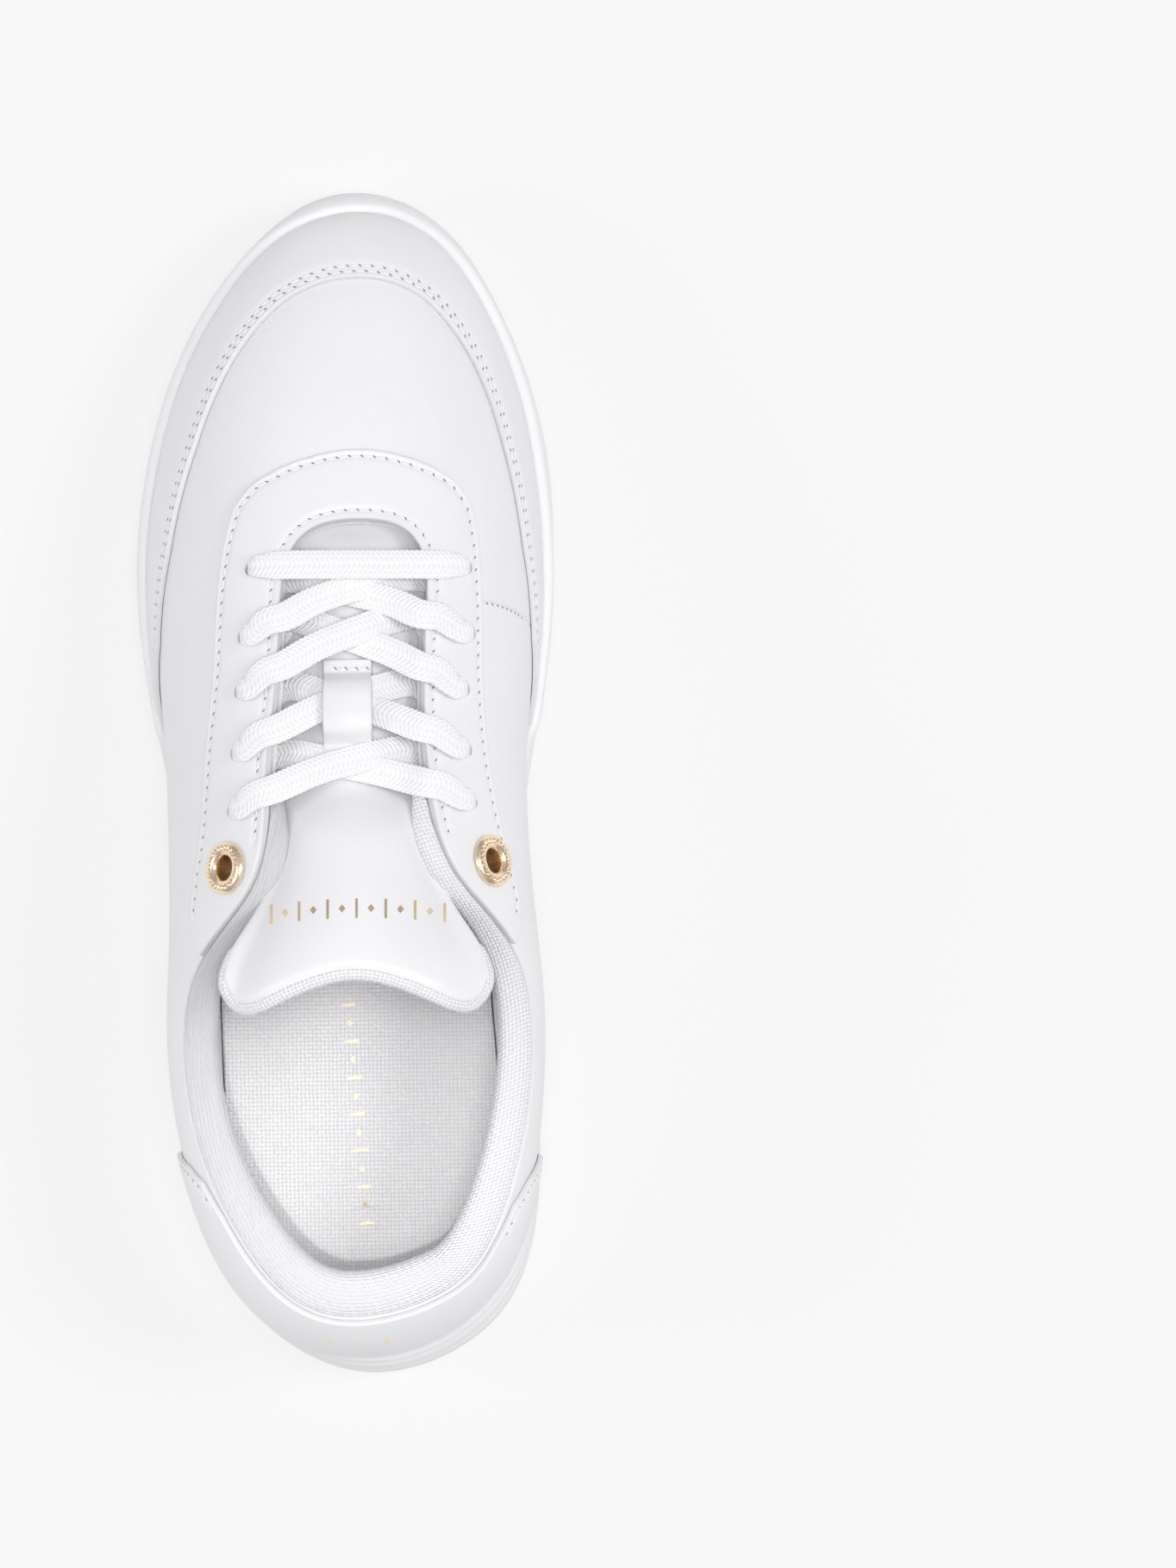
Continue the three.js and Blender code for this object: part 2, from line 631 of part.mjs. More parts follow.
function laceSizes(path, samples) {
  const holes = ['lateral', 'medial'].flatMap((side) => HOLES[side].map((_, row) => facingPoint(side, row, -0.9)));
  return samples.map((p, i) => {
    const nearest = Math.min(...holes.map((h) => h.distanceTo(p)));
    const ends = Math.min(i, samples.length - 1 - i) * 4 - 4;
    const squeeze = Math.min(THREE.MathUtils.smoothstep(nearest, 2.9, 6.2), THREE.MathUtils.smoothstep(ends, 2, 9));
    const least = ends < 2 ? 1.6 : 2.2;
    return [THREE.MathUtils.lerp(least, LACE_WIDTH, squeeze), THREE.MathUtils.lerp(1.6, LACE_THICK, squeeze)];
  });
}

function lace(path) {
  const curve = new THREE.CatmullRomCurve3(path, false, 'centripetal');
  const samples = path.flatMap((p, i) => {
    if (i === path.length - 1) return [curve.getPoint(1)];
    const near = i / (path.length - 1);
    const far = (i + 1) / (path.length - 1);
    return p.distanceTo(path[i + 1]) > 9 ? [curve.getPoint(near), curve.getPoint((near + far) / 2)] : [curve.getPoint(near)];
  });
  const sizes = laceSizes(path, samples);
  const frames = laceFrames(samples);
  const rings = frames.map(({ p, wide, thick }, i) => [[-1, -1], [1, -1], [1, 1], [-1, 1]].map(([a, b]) => p.clone()
    .addScaledVector(wide, (a * sizes[i][0]) / 2).addScaledVector(thick, (b * sizes[i][1]) / 2)));
  return sweep(rings);
}

function sweep(rings) {
  const n = rings[0].length;
  const faces = [];
  for (let r = 0; r + 1 < rings.length; r += 1) {
    for (let i = 0; i < n; i += 1) {
      const j = (i + 1) % n;
      faces.push(...quad(r * n + i, r * n + j, (r + 1) * n + j, (r + 1) * n + i));
    }
  }
  const end = (rings.length - 1) * n;
  faces.push(...quad(3, 2, 1, 0), ...quad(end, end + 1, end + 2, end + 3));
  return geometryFrom(rings.flat(), faces);
}

// ---------- round fittings ----------
function turned(profile, origin, axis, segments) {
  const closed = [...profile, profile[0]].map(([r, h]) => new THREE.Vector2(r, h));
  const geometry = new THREE.LatheGeometry(closed, segments);
  geometry.deleteAttribute('uv');
  geometry.deleteAttribute('normal');
  const turn = new THREE.Quaternion().setFromUnitVectors(new THREE.Vector3(0, 1, 0), axis);
  geometry.applyQuaternion(turn);
  geometry.translate(origin.x, origin.y, origin.z);
  return facingOut(mergeVertices(geometry, 1e-4));
}

function eyeletPlace(side) {
  const { u, v } = locate(...EYELETS[side]);
  return { origin: surface(u, v), axis: normalOf(surface, u, v) };
}

const EYELET_DEPTH = 7.6;
function eyelet(side) {
  const { origin, axis } = eyeletPlace(side);
  const [bore, barrel, rim, face] = [EYELET_BORE / 2, EYELET_BORE / 2 + 0.5, EYELET / 2, OVERLAY + 2 * GAP];
  const profile = [[bore, -EYELET_DEPTH], [barrel, -EYELET_DEPTH], [barrel, face], [rim, face], [rim, face + 0.4],
    [rim - 1.2, face + 1.2], [bore + 0.9, face + 1.2], [bore, face + 0.5]];
  return turned(profile, origin, axis, 16);
}

function washer(side) {
  const { origin, axis } = eyeletPlace(side);
  const inner = EYELET_BORE / 2 + 0.5 + GAP;
  const profile = [[inner, -EYELET_DEPTH], [EYELET / 2 - 1.2, -EYELET_DEPTH], [EYELET / 2 - 1.2, 0.6 - EYELET_DEPTH],
    [inner, 0.6 - EYELET_DEPTH]];
  return turned(profile, origin, axis, 12);
}

function aglet(end, before) {
  const axis = end.clone().sub(before).normalize();
  const profile = [[0, 18], [1.4, 18], [1.9, 17.5], [1.9, -2.5], [1.5, -2.5], [1.5, GAP + 0.1], [0, GAP + 0.1]];
  const closed = profile.map(([r, h]) => new THREE.Vector2(r, h));
  const geometry = new THREE.LatheGeometry(closed, 10);
  geometry.deleteAttribute('uv');
  geometry.deleteAttribute('normal');
  geometry.applyQuaternion(new THREE.Quaternion().setFromUnitVectors(new THREE.Vector3(0, 1, 0), axis));
  geometry.translate(end.x, end.y, end.z);
  return facingOut(mergeVertices(geometry, 1e-4));
}

// ---------- holes ----------
const wasm = await Module();
wasm.setup();

function solid(geometry) {
  const merged = mergeVertices(geometry, 1e-5);
  return new wasm.Manifold(new wasm.Mesh({
    numProp: 3,
    vertProperties: new Float32Array(merged.attributes.position.array),
    triVerts: new Uint32Array(merged.index.array),
  }));
}

function fromSolid(body) {
  const mesh = body.getMesh();
  const geometry = new THREE.BufferGeometry();
  geometry.setAttribute('position', new THREE.Float32BufferAttribute(mesh.vertProperties, 3));
  geometry.setIndex(Array.from(mesh.triVerts));
  return geometry;
}

function punch(origin, axis, radius, segments) {
  const geometry = new THREE.CylinderGeometry(radius, radius, 26, segments);
  geometry.deleteAttribute('uv');
  geometry.deleteAttribute('normal');
  geometry.applyQuaternion(new THREE.Quaternion().setFromUnitVectors(new THREE.Vector3(0, 1, 0), axis));
  geometry.translate(origin.x, origin.y, origin.z);
  return solid(geometry);
}

function punches() {
  const tools = [];
  for (const side of ['lateral', 'medial']) {
    HOLES[side].forEach(([w, y]) => {
      const { u, v } = locate(w, y);
      tools.push(punch(surface(u, v), normalOf(surface, u, v), HOLE / 2, 6));
    });
    const { origin, axis } = eyeletPlace(side);
    tools.push(punch(origin, axis, EYELET_BORE / 2 + 1.1, 10));
  }
  return tools;
}

function pierced(geometry, tools) {
  let body = solid(geometry);
  tools.forEach((tool) => {
    body = body.subtract(tool);
  });
  return fromSolid(body);
}

// ---------- assembly ----------
const WHITE = 0xf4f4f2;
const GOLD = 0xc9a24b;

function add(group, name, geometry, colour = WHITE, roughness = 0.6, metalness = 0) {
  const plain = geometry;
  plain.computeVertexNormals();
  const material = new THREE.MeshStandardMaterial({ color: colour, roughness, metalness });
  material.name = `${name}_material`;
  const mesh = new THREE.Mesh(plain, material);
  mesh.name = name;
  group.add(mesh);
}

function addSole(group) {
  add(group, 'outsole_cup', outsole(), 0xf1f1ee, 0.7);
  add(group, 'midsole_filler', filler(), 0xe9e6dd, 0.9);
  add(group, 'lasting_board', innerPlate(6.5, LEATHER + 2 * GAP, LEATHER + 2 * GAP + BOARD), 0xd9cfba, 0.9);
  const top = LEATHER + BOARD + 3 * GAP;
  add(group, 'sockliner_foam', innerPlate(5.1, top, top + FOOTBED), 0xefece2, 0.9);
  const cover = top + FOOTBED + GAP;
  add(group, 'sockliner_cover', innerPlate(5.1, cover, cover + COVER), 0xf3f2ee, 0.9);
}

function addUpper(group, tools) {
  const front = both(SEAM + 0.008);
  add(group, 'vamp', pierced(panel({ ...front, low: flat(-0.9), high: flat(1), near: 0, far: -LEATHER }), tools));
  add(group, 'quarter_lateral', pierced(quarter(1), tools));
  add(group, 'quarter_medial', pierced(quarter(-1), tools));
  add(group, 'toe_mudguard', panel({ ...both(6.1), low: flat(-0.12), high: edge(MUDGUARD_EDGE),
    near: GAP + OVERLAY, far: GAP }));
  add(group, 'eyestay', pierced(panel({ ...both(4.2), low: edge(EYESTAY_EDGE), high: flat(1),
    near: GAP + OVERLAY, far: GAP }), tools));
  add(group, 'heel_patch', panel({ u0: -2.75, u1: 2.75, low: flat(-0.12), high: edge(HEEL_PATCH_EDGE),
    near: GAP + OVERLAY, far: GAP }));
  add(group, 'toe_puff', panel({ ...both(9), low: flat(-0.2), high: flat(0.52), near: -1.6, far: -2.2 }),
    0xdcdcd4, 0.9);
  add(group, 'heel_counter', panel({ u0: -3, u1: 3, low: flat(-0.2), high: flat(0.7), near: -1.6,
    far: -2.9 }), 0xdcdcd4, 0.9);
  add(group, 'vamp_lining', pierced(panel({ ...both(COLLAR_END + 0.02), low: flat(-0.33), high: flat(1), rows: 7,
    near: -LINING_DEPTH, far: -FACING }), tools), 0xf0f0ec, 0.9);
  add(group, 'collar_lining', pierced(collarLining(), tools), 0xf2f2ef, 0.9);
  add(group, 'collar_foam', collarFoam(), 0xece8d8, 0.95);
}

function addTongue(group) {
  for (const [name, geometry] of tongueSet('tongue_base', lowerPoint, (q) => 1.6 + 1.2 * q, 9)) {
    add(group, name, geometry);
  }
  for (const [name, geometry] of tongueSet('tongue_flap', flapPoint, (q) => 2.8 + 1 * q, 6)) {
    add(group, name, geometry);
  }
  add(group, 'lace_keeper', keeper());
}

function addLacing(group) {
  const path = lacePath();
  add(group, 'lace', lace(path), 0xf8f8f8, 0.9);
  const last = path.length - 1;
  add(group, 'aglet_lateral', aglet(path[0], path[1]), 0xf3f3f3, 0.3);
  add(group, 'aglet_medial', aglet(path[last], path[last - 1]), 0xf3f3f3, 0.3);
  for (const side of ['lateral', 'medial']) {
    add(group, `eyelet_${side}`, eyelet(side), GOLD, 0.25, 1);
    add(group, `eyelet_washer_${side}`, washer(side), GOLD, 0.35, 1);
  }
}

const group = new THREE.Group();
group.name = 'court_shoe';
const tools = punches();
addSole(group);
addUpper(group, tools);
addTongue(group);
addLacing(group);

export default group;
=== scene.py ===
# White leather court shoe: the visible pieces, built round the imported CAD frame.
import math

import bpy
import numpy as np
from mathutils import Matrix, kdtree
from mathutils.bvhtree import BVHTree


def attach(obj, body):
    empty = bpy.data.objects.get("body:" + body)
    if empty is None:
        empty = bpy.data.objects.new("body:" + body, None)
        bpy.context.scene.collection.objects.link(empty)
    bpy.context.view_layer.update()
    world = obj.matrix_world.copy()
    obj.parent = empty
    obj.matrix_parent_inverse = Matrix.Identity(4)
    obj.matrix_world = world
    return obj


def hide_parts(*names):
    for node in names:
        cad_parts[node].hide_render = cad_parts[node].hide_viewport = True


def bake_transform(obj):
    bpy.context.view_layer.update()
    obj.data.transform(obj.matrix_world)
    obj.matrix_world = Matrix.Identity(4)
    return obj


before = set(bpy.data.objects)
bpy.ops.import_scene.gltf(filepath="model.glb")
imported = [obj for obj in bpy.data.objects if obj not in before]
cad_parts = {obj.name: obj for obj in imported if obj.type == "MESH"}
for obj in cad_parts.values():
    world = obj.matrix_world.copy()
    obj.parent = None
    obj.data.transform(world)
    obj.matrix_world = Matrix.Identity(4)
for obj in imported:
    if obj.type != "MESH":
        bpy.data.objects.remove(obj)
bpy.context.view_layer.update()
MM = 0.001
STEP = 0.01  # small step of station or height, for slopes

# ---------- the driving dimensions of the CAD, in mm ----------
LENGTH, AXIS_X, SIDES = 280, 2.95, 12
ROUND = 2 * SIDES  # stations all the way round
GAP, LEATHER, OVERLAY, LINING = 0.3, 1.3, 1.2, 0.8
SOLE_DEPTH, OUTSOLE, MARGIN = 11, 4, 12
LINING_DEPTH, FACING = 2.5, 3.3
LACE_THICK = 1.2
BRAID_PITCH, BRAID_LEAN = 1.15, 2.3
HOLE_RADIUS = 1.75
TONGUE_DROP = FACING + 7 * GAP + LACE_THICK
EYELET_DEPTH, EYELET_HOLE = 7.6, 3.8
SEAM, COLLAR_END = 7.4, 5.45

# Stations 0 (heel centre) to 12 (toe centre): distance from the axis, distance from the heel, height
FEATHER = (
    [[0.2, 8.3, 29], [-20, 15, 29], [-33, 33, 28.5], [-37.5, 60, 27.5], [-38.5, 92, 26.5], [-40, 122, 25.5],
     [-43.9, 150, 24.5], [-47.6, 175, 23.5], [-47.9, 200, 23], [-42.2, 228.4, 23.5], [-32, 250.4, 25],
     [-18, 266.6, 27], [0.2, 273.5, 27.5]],
    [[0.2, 8.3, 29], [20, 15, 29], [33.5, 33, 28.5], [36.5, 60, 27.5], [34.5, 92, 26.5], [35, 122, 25.5],
     [38, 151, 24.5], [41.4, 176, 23.5], [41.8, 201, 23], [38, 228.4, 23.5], [29.7, 251, 25],
     [17.6, 267.6, 27], [0.2, 273.5, 27.5]],
)
LOWER = (
    [[0, 5, 44], [-22, 12, 44], [-37, 31, 43.5], [-44, 60, 42], [-46, 91, 42], [-49, 122, 42], [-49.2, 150, 40],
     [-49.6, 174, 38.5], [-48, 199, 38], [-41.6, 227, 38.5], [-31.6, 248.6, 40], [-17.6, 264.6, 43],
     [0.3, 271.6, 44]],
    [[0, 5, 44], [22, 12.5, 44], [36.5, 31, 44], [42.5, 60, 43], [42.5, 91, 43], [41.8, 122, 43],
     [42.2, 150, 42], [43.6, 174, 40], [43.1, 199, 39], [38.4, 227, 39], [30.4, 249, 40.5],
     [17.8, 265.6, 43], [0.3, 271.6, 44]],
)
UPPER = (
    [[-0.5, 7.5, 62], [-22, 14.5, 61], [-37, 36, 58], [-46.5, 64, 54], [-48.5, 94, 59], [-45.5, 119, 68],
     [-42, 146, 68], [-39, 167, 66], [-36, 187, 64.5], [-30, 206, 61.5], [-22, 221, 59], [-12, 230, 57.5],
     [0.7, 234, 57]],
    [[-0.5, 7.5, 62], [22, 14.5, 61], [36.5, 33, 59], [43, 61, 56], [46, 93, 61], [44.5, 120, 70],
     [38.5, 146, 70], [36, 167, 68], [34, 187, 66], [30, 206, 62.5], [23, 221, 59.5], [13, 230, 57.5],
     [0.7, 234, 57]],
)
TOPLINE = (
    [[-1, 16.7, 76], [-18, 22.5, 75], [-31.5, 41, 70.5], [-40, 66, 66], [-38, 96, 71], [-23.2, 118, 86],
     [-19.8, 142, 82], [-17.8, 161, 77], [-16.8, 177, 73], [-16, 188, 69.5], [-13.2, 195.5, 67],
     [-7.5, 199.8, 65.3], [1, 201, 64.8]],
    [[-1, 16.7, 76], [17.5, 21.5, 75], [30, 34, 71], [38.8, 63, 67], [37.5, 97.5, 73], [22.6, 120, 87],
     [16.5, 143, 83], [15.8, 161, 78], [16.4, 177, 74], [17, 188, 70], [14.8, 195.5, 67.3],
     [9.5, 199.8, 65.5], [1, 201, 64.8]],
)
OUTLINE = (
    [[0.3, 0, 14], [-21, 8.6, 14], [-34.5, 27, 14], [-40.8, 55, 14], [-41.5, 90, 14], [-42.5, 120, 14],
     [-47.5, 148, 14], [-51.7, 178, 14], [-51.9, 202, 14], [-45.5, 227, 14], [-35.5, 251.5, 15],
     [-19.5, 272, 17], [0.3, 280, 18]],
    [[0.3, 0, 14], [22.5, 6.4, 14], [36.5, 23, 14], [41, 52, 14], [38.5, 88, 14], [36.8, 119, 14],
     [40.8, 148, 14], [44.9, 177, 14], [46.2, 202, 14], [43.3, 226.5, 14], [34.3, 251.5, 15],
     [20.5, 272, 17], [0.3, 280, 18]],
)
MUDGUARD_EDGE = [[6.1, 0.07], [6.6, 0.22], [7, 0.3], [8, 0.38], [9, 0.4], [10, 0.38], [11, 0.37], [12, 0.38]]
EYESTAY_EDGE = [[4.2, 0.98], [4.4, 0.86], [4.7, 0.77], [5, 0.74], [6, 0.74], [7, 0.742], [8, 0.725], [8.5, 0.714],
                [9, 0.71], [9.5, 0.743], [10, 0.785], [10.5, 0.811], [11, 0.827], [11.5, 0.834], [12, 0.836]]
HEEL_PATCH_EDGE = [[0, 0.99], [1, 0.99], [2, 0.985], [2.35, 0.94], [2.55, 0.8], [2.75, 0.5]]
COLLAR_WIDTH = [[0, 11.5], [1, 11], [2, 10], [3, 9], [4, 7.6], [5, 6.2], [5.5, 5.6], [5.95, 4.8]]
COLLAR_HEIGHT = [[0, 7], [1, 6.6], [2, 6], [3, 5.5], [4, 5], [5, 4.2], [5.5, 3.7], [5.95, 1.7]]
COLLAR_FRONT = 5.95
HOLES = {
    -1: [(-22.9, 189.7), (-24.7, 174), (-25.5, 161.4), (-26.5, 147.2), (-27.3, 134)],
    1: [(25.4, 189.5), (26, 174.2), (24.5, 161.3), (24.8, 147.2), (26, 135.2)],
}
EYELETS = {-1: (-28.6, 120.8), 1: (30, 121.4)}
LACE_EXITS = [189, 180.3, 164.5, 148.8]
TONGUE_WIDTH = [[131, 24], [148, 25], [170, 25.5], [190, 24], [204, 18], [210, 14]]
# distance from the heel, half width, middle, height of the edge and of the crown
FLAP = [[88, 31.7, 0, 95, 108.4], [97, 31.6, 0, 93.5, 108], [104, 29.9, 0, 88.5, 105], [112, 24.3, 0, 84.5, 101],
        [121, 19.1, 0, 83, 96.2], [129, 17.4, -0.1, 80.5, 92.3], [142, 16.9, -0.2, 78, 88]]


def link(name, data):
    """A new object of some data, placed in the scene."""
    obj = bpy.data.objects.new(name, data)
    bpy.context.scene.collection.objects.link(obj)
    return obj


# ---------- camera ----------
def add_camera():
    data = bpy.data.cameras.new("camera")
    data.sensor_fit, data.sensor_width = "HORIZONTAL", 36
    data.lens, data.clip_start, data.clip_end = 255.6, 0.05, 20
    camera = link("camera", data)
    camera.location = (0.0566, -0.0009, 2.0)
    camera.rotation_euler = (0, 0, -0.01464)
    bpy.context.scene.camera = camera


add_camera()


# ---------- curves and the shoe surface ----------
def smoothstep(x, a, b):
    t = np.clip((np.asarray(x, float) - a) / (b - a), 0, 1)
    return t * t * (3 - 2 * t)


def unit(a):
    return a / np.maximum(np.linalg.norm(a, axis=-1, keepdims=True), 1e-12)


def along(table, t):
    return np.interp(t, *np.array(table, float).T)


def closed_spline(rows):
    lateral, medial = rows
    target = np.array([*lateral, *medial[1:SIDES][::-1]], float)
    target += (AXIS_X, -LENGTH / 2, 0)
    control, n = target.copy(), len(target)
    for _ in range(24):
        for i in range(n):
            control[i] += target[i] - (control[i - 1] + 4 * control[i] + control[(i + 1) % n]) / 6

    def at(u):
        u = np.asarray(u, float)
        base = np.floor(u).astype(int)
        f = (u - base)[..., None]
        weights = [(1 - f) ** 3, 3 * f ** 3 - 6 * f ** 2 + 4, -3 * f ** 3 + 3 * f ** 2 + 3 * f + 1, f ** 3]
        return sum(w / 6 * control[(base + k - 1) % n] for k, w in enumerate(weights))

    return at


feather, lower, upper, topline, outline = map(closed_spline, (FEATHER, LOWER, UPPER, TOPLINE, OUTLINE))


def station(u):
    wrapped = np.mod(u, ROUND)
    return np.where(wrapped > SIDES, ROUND - wrapped, wrapped)


def outward(curve, u):
    tangent = curve(np.asarray(u) + 0.02) - curve(np.asarray(u) - 0.02)
    return unit(np.stack([-tangent[..., 1], tangent[..., 0], 0 * tangent[..., 0]], -1))


def bezier(a, b, c, d, v):
    w = 1 - v
    return w ** 3 * a + 3 * w * w * v * b + 3 * w * v * v * c + v ** 3 * d


def surface(u, v):
    u, v = np.broadcast_arrays(np.asarray(u, float), np.asarray(v, float))
    foot, out, down = feather(u), outward(feather, u), np.array((0, 0, 1.0))
    above = bezier(foot, lower(u), upper(u), topline(u), v[..., None])
    below = bezier(foot, foot - SOLE_DEPTH * down, foot - SOLE_DEPTH * down - out,
                   foot - SOLE_DEPTH * down - MARGIN * out, -v[..., None])
    return np.where(v[..., None] >= 0, above, below)


def slopes(u, v):
    """Change of the surface's position per station and per unit of height."""
    return ((surface(u + STEP, v) - surface(u - STEP, v)) / (2 * STEP),
            (surface(u, v + STEP) - surface(u, v - STEP)) / (2 * STEP))


def normal_of(u, v):
    du, dv = slopes(u, v)
    return unit(np.cross(dv, du))


def offset_point(u, v, distance):
    u, v = np.broadcast_arrays(np.asarray(u, float), np.asarray(v, float))
    return surface(u, v) + normal_of(u, v) * np.asarray(distance)[..., None]


def locate(w, y):
    """Station and height whose plan position is (w, y)."""
    w, y = np.asarray(w, float), np.asarray(y, float)
    u, v = np.where(w < 1, 7.0, ROUND - 7.0), np.full(w.shape, 0.85)
    for _ in range(40):
        here = surface(u, v)
        du = (surface(u + STEP, v) - here) / STEP
        dv = (surface(u, v + STEP) - here) / STEP
        det = du[..., 0] * dv[..., 1] - du[..., 1] * dv[..., 0]
        ex, ey = w + AXIS_X - here[..., 0], y - LENGTH / 2 - here[..., 1]
        u = u + np.clip((ex * dv[..., 1] - ey * dv[..., 0]) / det, -0.6, 0.6)
        v = v + np.clip((du[..., 0] * ey - du[..., 1] * ex) / det, -0.15, 0.15)
        v = np.clip(v, 0.05, 1.15)
    return u, v


def catmull(points, t):
    """Centripetal Catmull-Rom curve through points (..., n, 3) at t from 0 to 1 (m) -> (..., m, 3)."""
    points = np.asarray(points, float)
    n = points.shape[-2]
    first = 2 * points[..., :1, :] - points[..., 1:2, :]
    last = 2 * points[..., -1:, :] - points[..., -2:-1, :]
    p = np.concatenate([first, points, last], -2)
    place = np.clip(np.asarray(t, float), 0, 1) * (n - 1)
    i = np.minimum(np.floor(place).astype(int), n - 2)
    f = (place - i)[:, None]
    p0, p1, p2, p3 = (p[..., i + k, :] for k in range(4))
    gap = [np.maximum(np.linalg.norm(b - a, axis=-1, keepdims=True), 1e-4) ** 0.5
           for a, b in ((p0, p1), (p1, p2), (p2, p3))]
    t1 = ((p1 - p0) / gap[0] - (p2 - p0) / (gap[0] + gap[1]) + (p2 - p1) / gap[1]) * gap[1]
    t2 = ((p2 - p1) / gap[1] - (p3 - p1) / (gap[1] + gap[2]) + (p3 - p2) / gap[2]) * gap[1]
    return (p1 + t1 * f + (-3 * p1 + 3 * p2 - 2 * t1 - t2) * f ** 2 + (2 * p1 - 2 * p2 + t1 + t2) * f ** 3)


def throat_edge(side, y):
    y = np.asarray(y, float)
    near, far = np.full(y.shape, 5.0 if side < 0 else 12.1), np.full(y.shape, 11.9 if side < 0 else 19.0)
    for _ in range(30):
        middle = (near + far) / 2
        behind = topline(middle)[..., 1] < y - LENGTH / 2
        take = behind == (side < 0)
        near, far = np.where(take, middle, near), np.where(take, far, middle)
    return topline((near + far) / 2)[..., 0] - AXIS_X


# ---------- meshes ----------
FINE = 0.7 * 0.35  # share of the fine spacing in a refined line
EDGE_GREY_AND_SHADE_WIDTH = 0.35  # width of the darker line at a cut edge: partly the grey of the raw edge, partly painted shade along the raised edge


def make(name, points, faces, material, slot, stands_for=(), body="shoe", uv=None, edge=None, angle=50,
         finish_of=None):
    """A mesh object from points in mm; uv in mm and edge (0 to 1) are given per point, finish_of per face."""
    mesh = bpy.data.meshes.new(name)
    mesh.from_pydata((points * MM).tolist(), [], faces if isinstance(faces, list) else faces.tolist())
    mesh.update()
    if signed_volume(mesh) < 0:
        mesh.flip_normals()
    index = np.zeros(len(mesh.loops), np.int32)
    mesh.loops.foreach_get("vertex_index", index)
    if uv is not None:
        layer = mesh.uv_layers.new(name="UVMap")
        layer.data.foreach_set("uv", np.asarray(uv, np.float32)[index].ravel())
    if edge is not None:
        mesh.attributes.new("edge", "FLOAT", "POINT").data.foreach_set("value", np.asarray(edge, np.float32))
    for one in material if isinstance(material, (list, tuple)) else [material]:
        mesh.materials.append(one)
    if finish_of is not None:
        mesh.polygons.foreach_set("material_index", np.asarray(finish_of, np.int32))
    mesh.shade_smooth()
    mesh.set_sharp_from_angle(angle=math.radians(angle))
    obj = link(name, mesh)
    if body:
        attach(obj, body)
    if stands_for:
        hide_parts(*stands_for)
    return obj


def signed_volume(mesh):
    mesh.calc_loop_triangles()
    co = np.zeros(len(mesh.vertices) * 3)
    mesh.vertices.foreach_get("co", co)
    tri = np.zeros(len(mesh.loop_triangles) * 3, np.int32)
    mesh.loop_triangles.foreach_get("vertices", tri)
    a, b, c = (co.reshape(-1, 3)[tri.reshape(-1, 3)[:, k]] for k in range(3))
    return float(np.sum(a * np.cross(b, c)))


def quads(rows, columns, wrap=False):
    """Faces of a grid of points stored row by row; wrap joins the last row to the first."""
    i = np.arange(rows if wrap else rows - 1)[:, None]
    j = np.arange(columns - 1)[None, :]
    k = (i + 1) % rows
    face = np.stack(np.broadcast_arrays(i * columns + j, k * columns + j, k * columns + j + 1, i * columns + j + 1), -1)
    return face.reshape(-1, 4)


def make_shell(name, outer, inner, maps, material, slot, stands_for, reach=None, **rest):
    """A sheet between two matching grids (m, n, 3), joined round their borders.

    maps are the two grids of map coordinates, and reach is each outer point's distance in mm from a cut edge.
    """
    m, n = outer.shape[:2]
    grid = np.arange(m * n).reshape(m, n)
    top, border = quads(m, n), []
    for line in (grid[:, 0], grid[-1], grid[::-1, -1], grid[0, ::-1]):
        border.append(np.stack([line[:-1], line[:-1] + m * n, line[1:] + m * n, line[1:]], -1))
    points = np.concatenate([outer.reshape(-1, 3), inner.reshape(-1, 3)])
    uv = np.stack(maps, -1).reshape(-1, 2)
    if reach is not None:
        # darkening towards cut edges and over the whole inner face: partly raw-edge grey, partly painted shade
        rest["edge"] = np.concatenate([np.exp(-reach / EDGE_GREY_AND_SHADE_WIDTH).ravel(), np.ones(reach.size)])
    return make(name, points, np.concatenate([top, top[:, ::-1] + m * n, *border]), material, slot, stands_for,
                uv=np.concatenate([uv, uv]), **rest)


def grid_normal(grid):
    return unit(np.cross(np.gradient(grid, axis=1), np.gradient(grid, axis=0)))


def run_length(points, axis):
    """Length in mm along a grid's lines from their start."""
    step = np.linalg.norm(np.diff(points, axis=axis), axis=-1)
    total = np.cumsum(step, axis=axis)
    return np.concatenate([np.zeros_like(np.take(total, [0], axis)), total], axis)


def circle(count):
    """Angles evenly spaced round a circle."""
    return np.linspace(0, 2 * math.pi, count, endpoint=False)


def rolled(reach, radius):
    """Height, 0 to 1, of an edge rounded over a radius, at a distance from that edge."""
    return np.sqrt(1 - (1 - np.clip(reach / radius, 0, 1)) ** 2)


def tube_faces(sides, rings):
    """Faces of a tube whose points are stored ring by ring, capped at both ends."""
    ring, last = quads(sides, rings, True), (rings - 1) * sides
    return (ring // rings + (ring % rings) * sides).tolist() + [
        list(range(sides))[::-1], list(range(last, last + sides))]


class Pile:
    """Points and faces of many small solids that make up one mesh."""

    def __init__(self):
        self.parts, self.faces, self.size = [], [], 0

    def add(self, points, faces):
        self.parts.append(points.reshape(-1, 3))
        self.faces += [[i + self.size for i in face] for face in faces]
        self.size += len(self.parts[-1])

    def points(self):
        return np.concatenate(self.parts)


def cosine(count):
    """0 to 1 with its steps fine at both ends."""
    return (1 - np.cos(np.linspace(0, math.pi, count))) / 2


def refined(a, b, count):
    """a to b, even in the middle and finer at both ends."""
    return a + (b - a) * (FINE * cosine(count) + (1 - FINE) * np.linspace(0, 1, count))


def bent_line(points, spacing):
    """Points of a line resampled at an even spacing, with their distance from the start."""
    s = run_length(points, 0)
    count = max(int(s[-1] / spacing), 2)
    t = np.linspace(0, s[-1], count + 1)
    return np.stack([np.interp(t, s, points[:, k]) for k in range(3)], -1), t


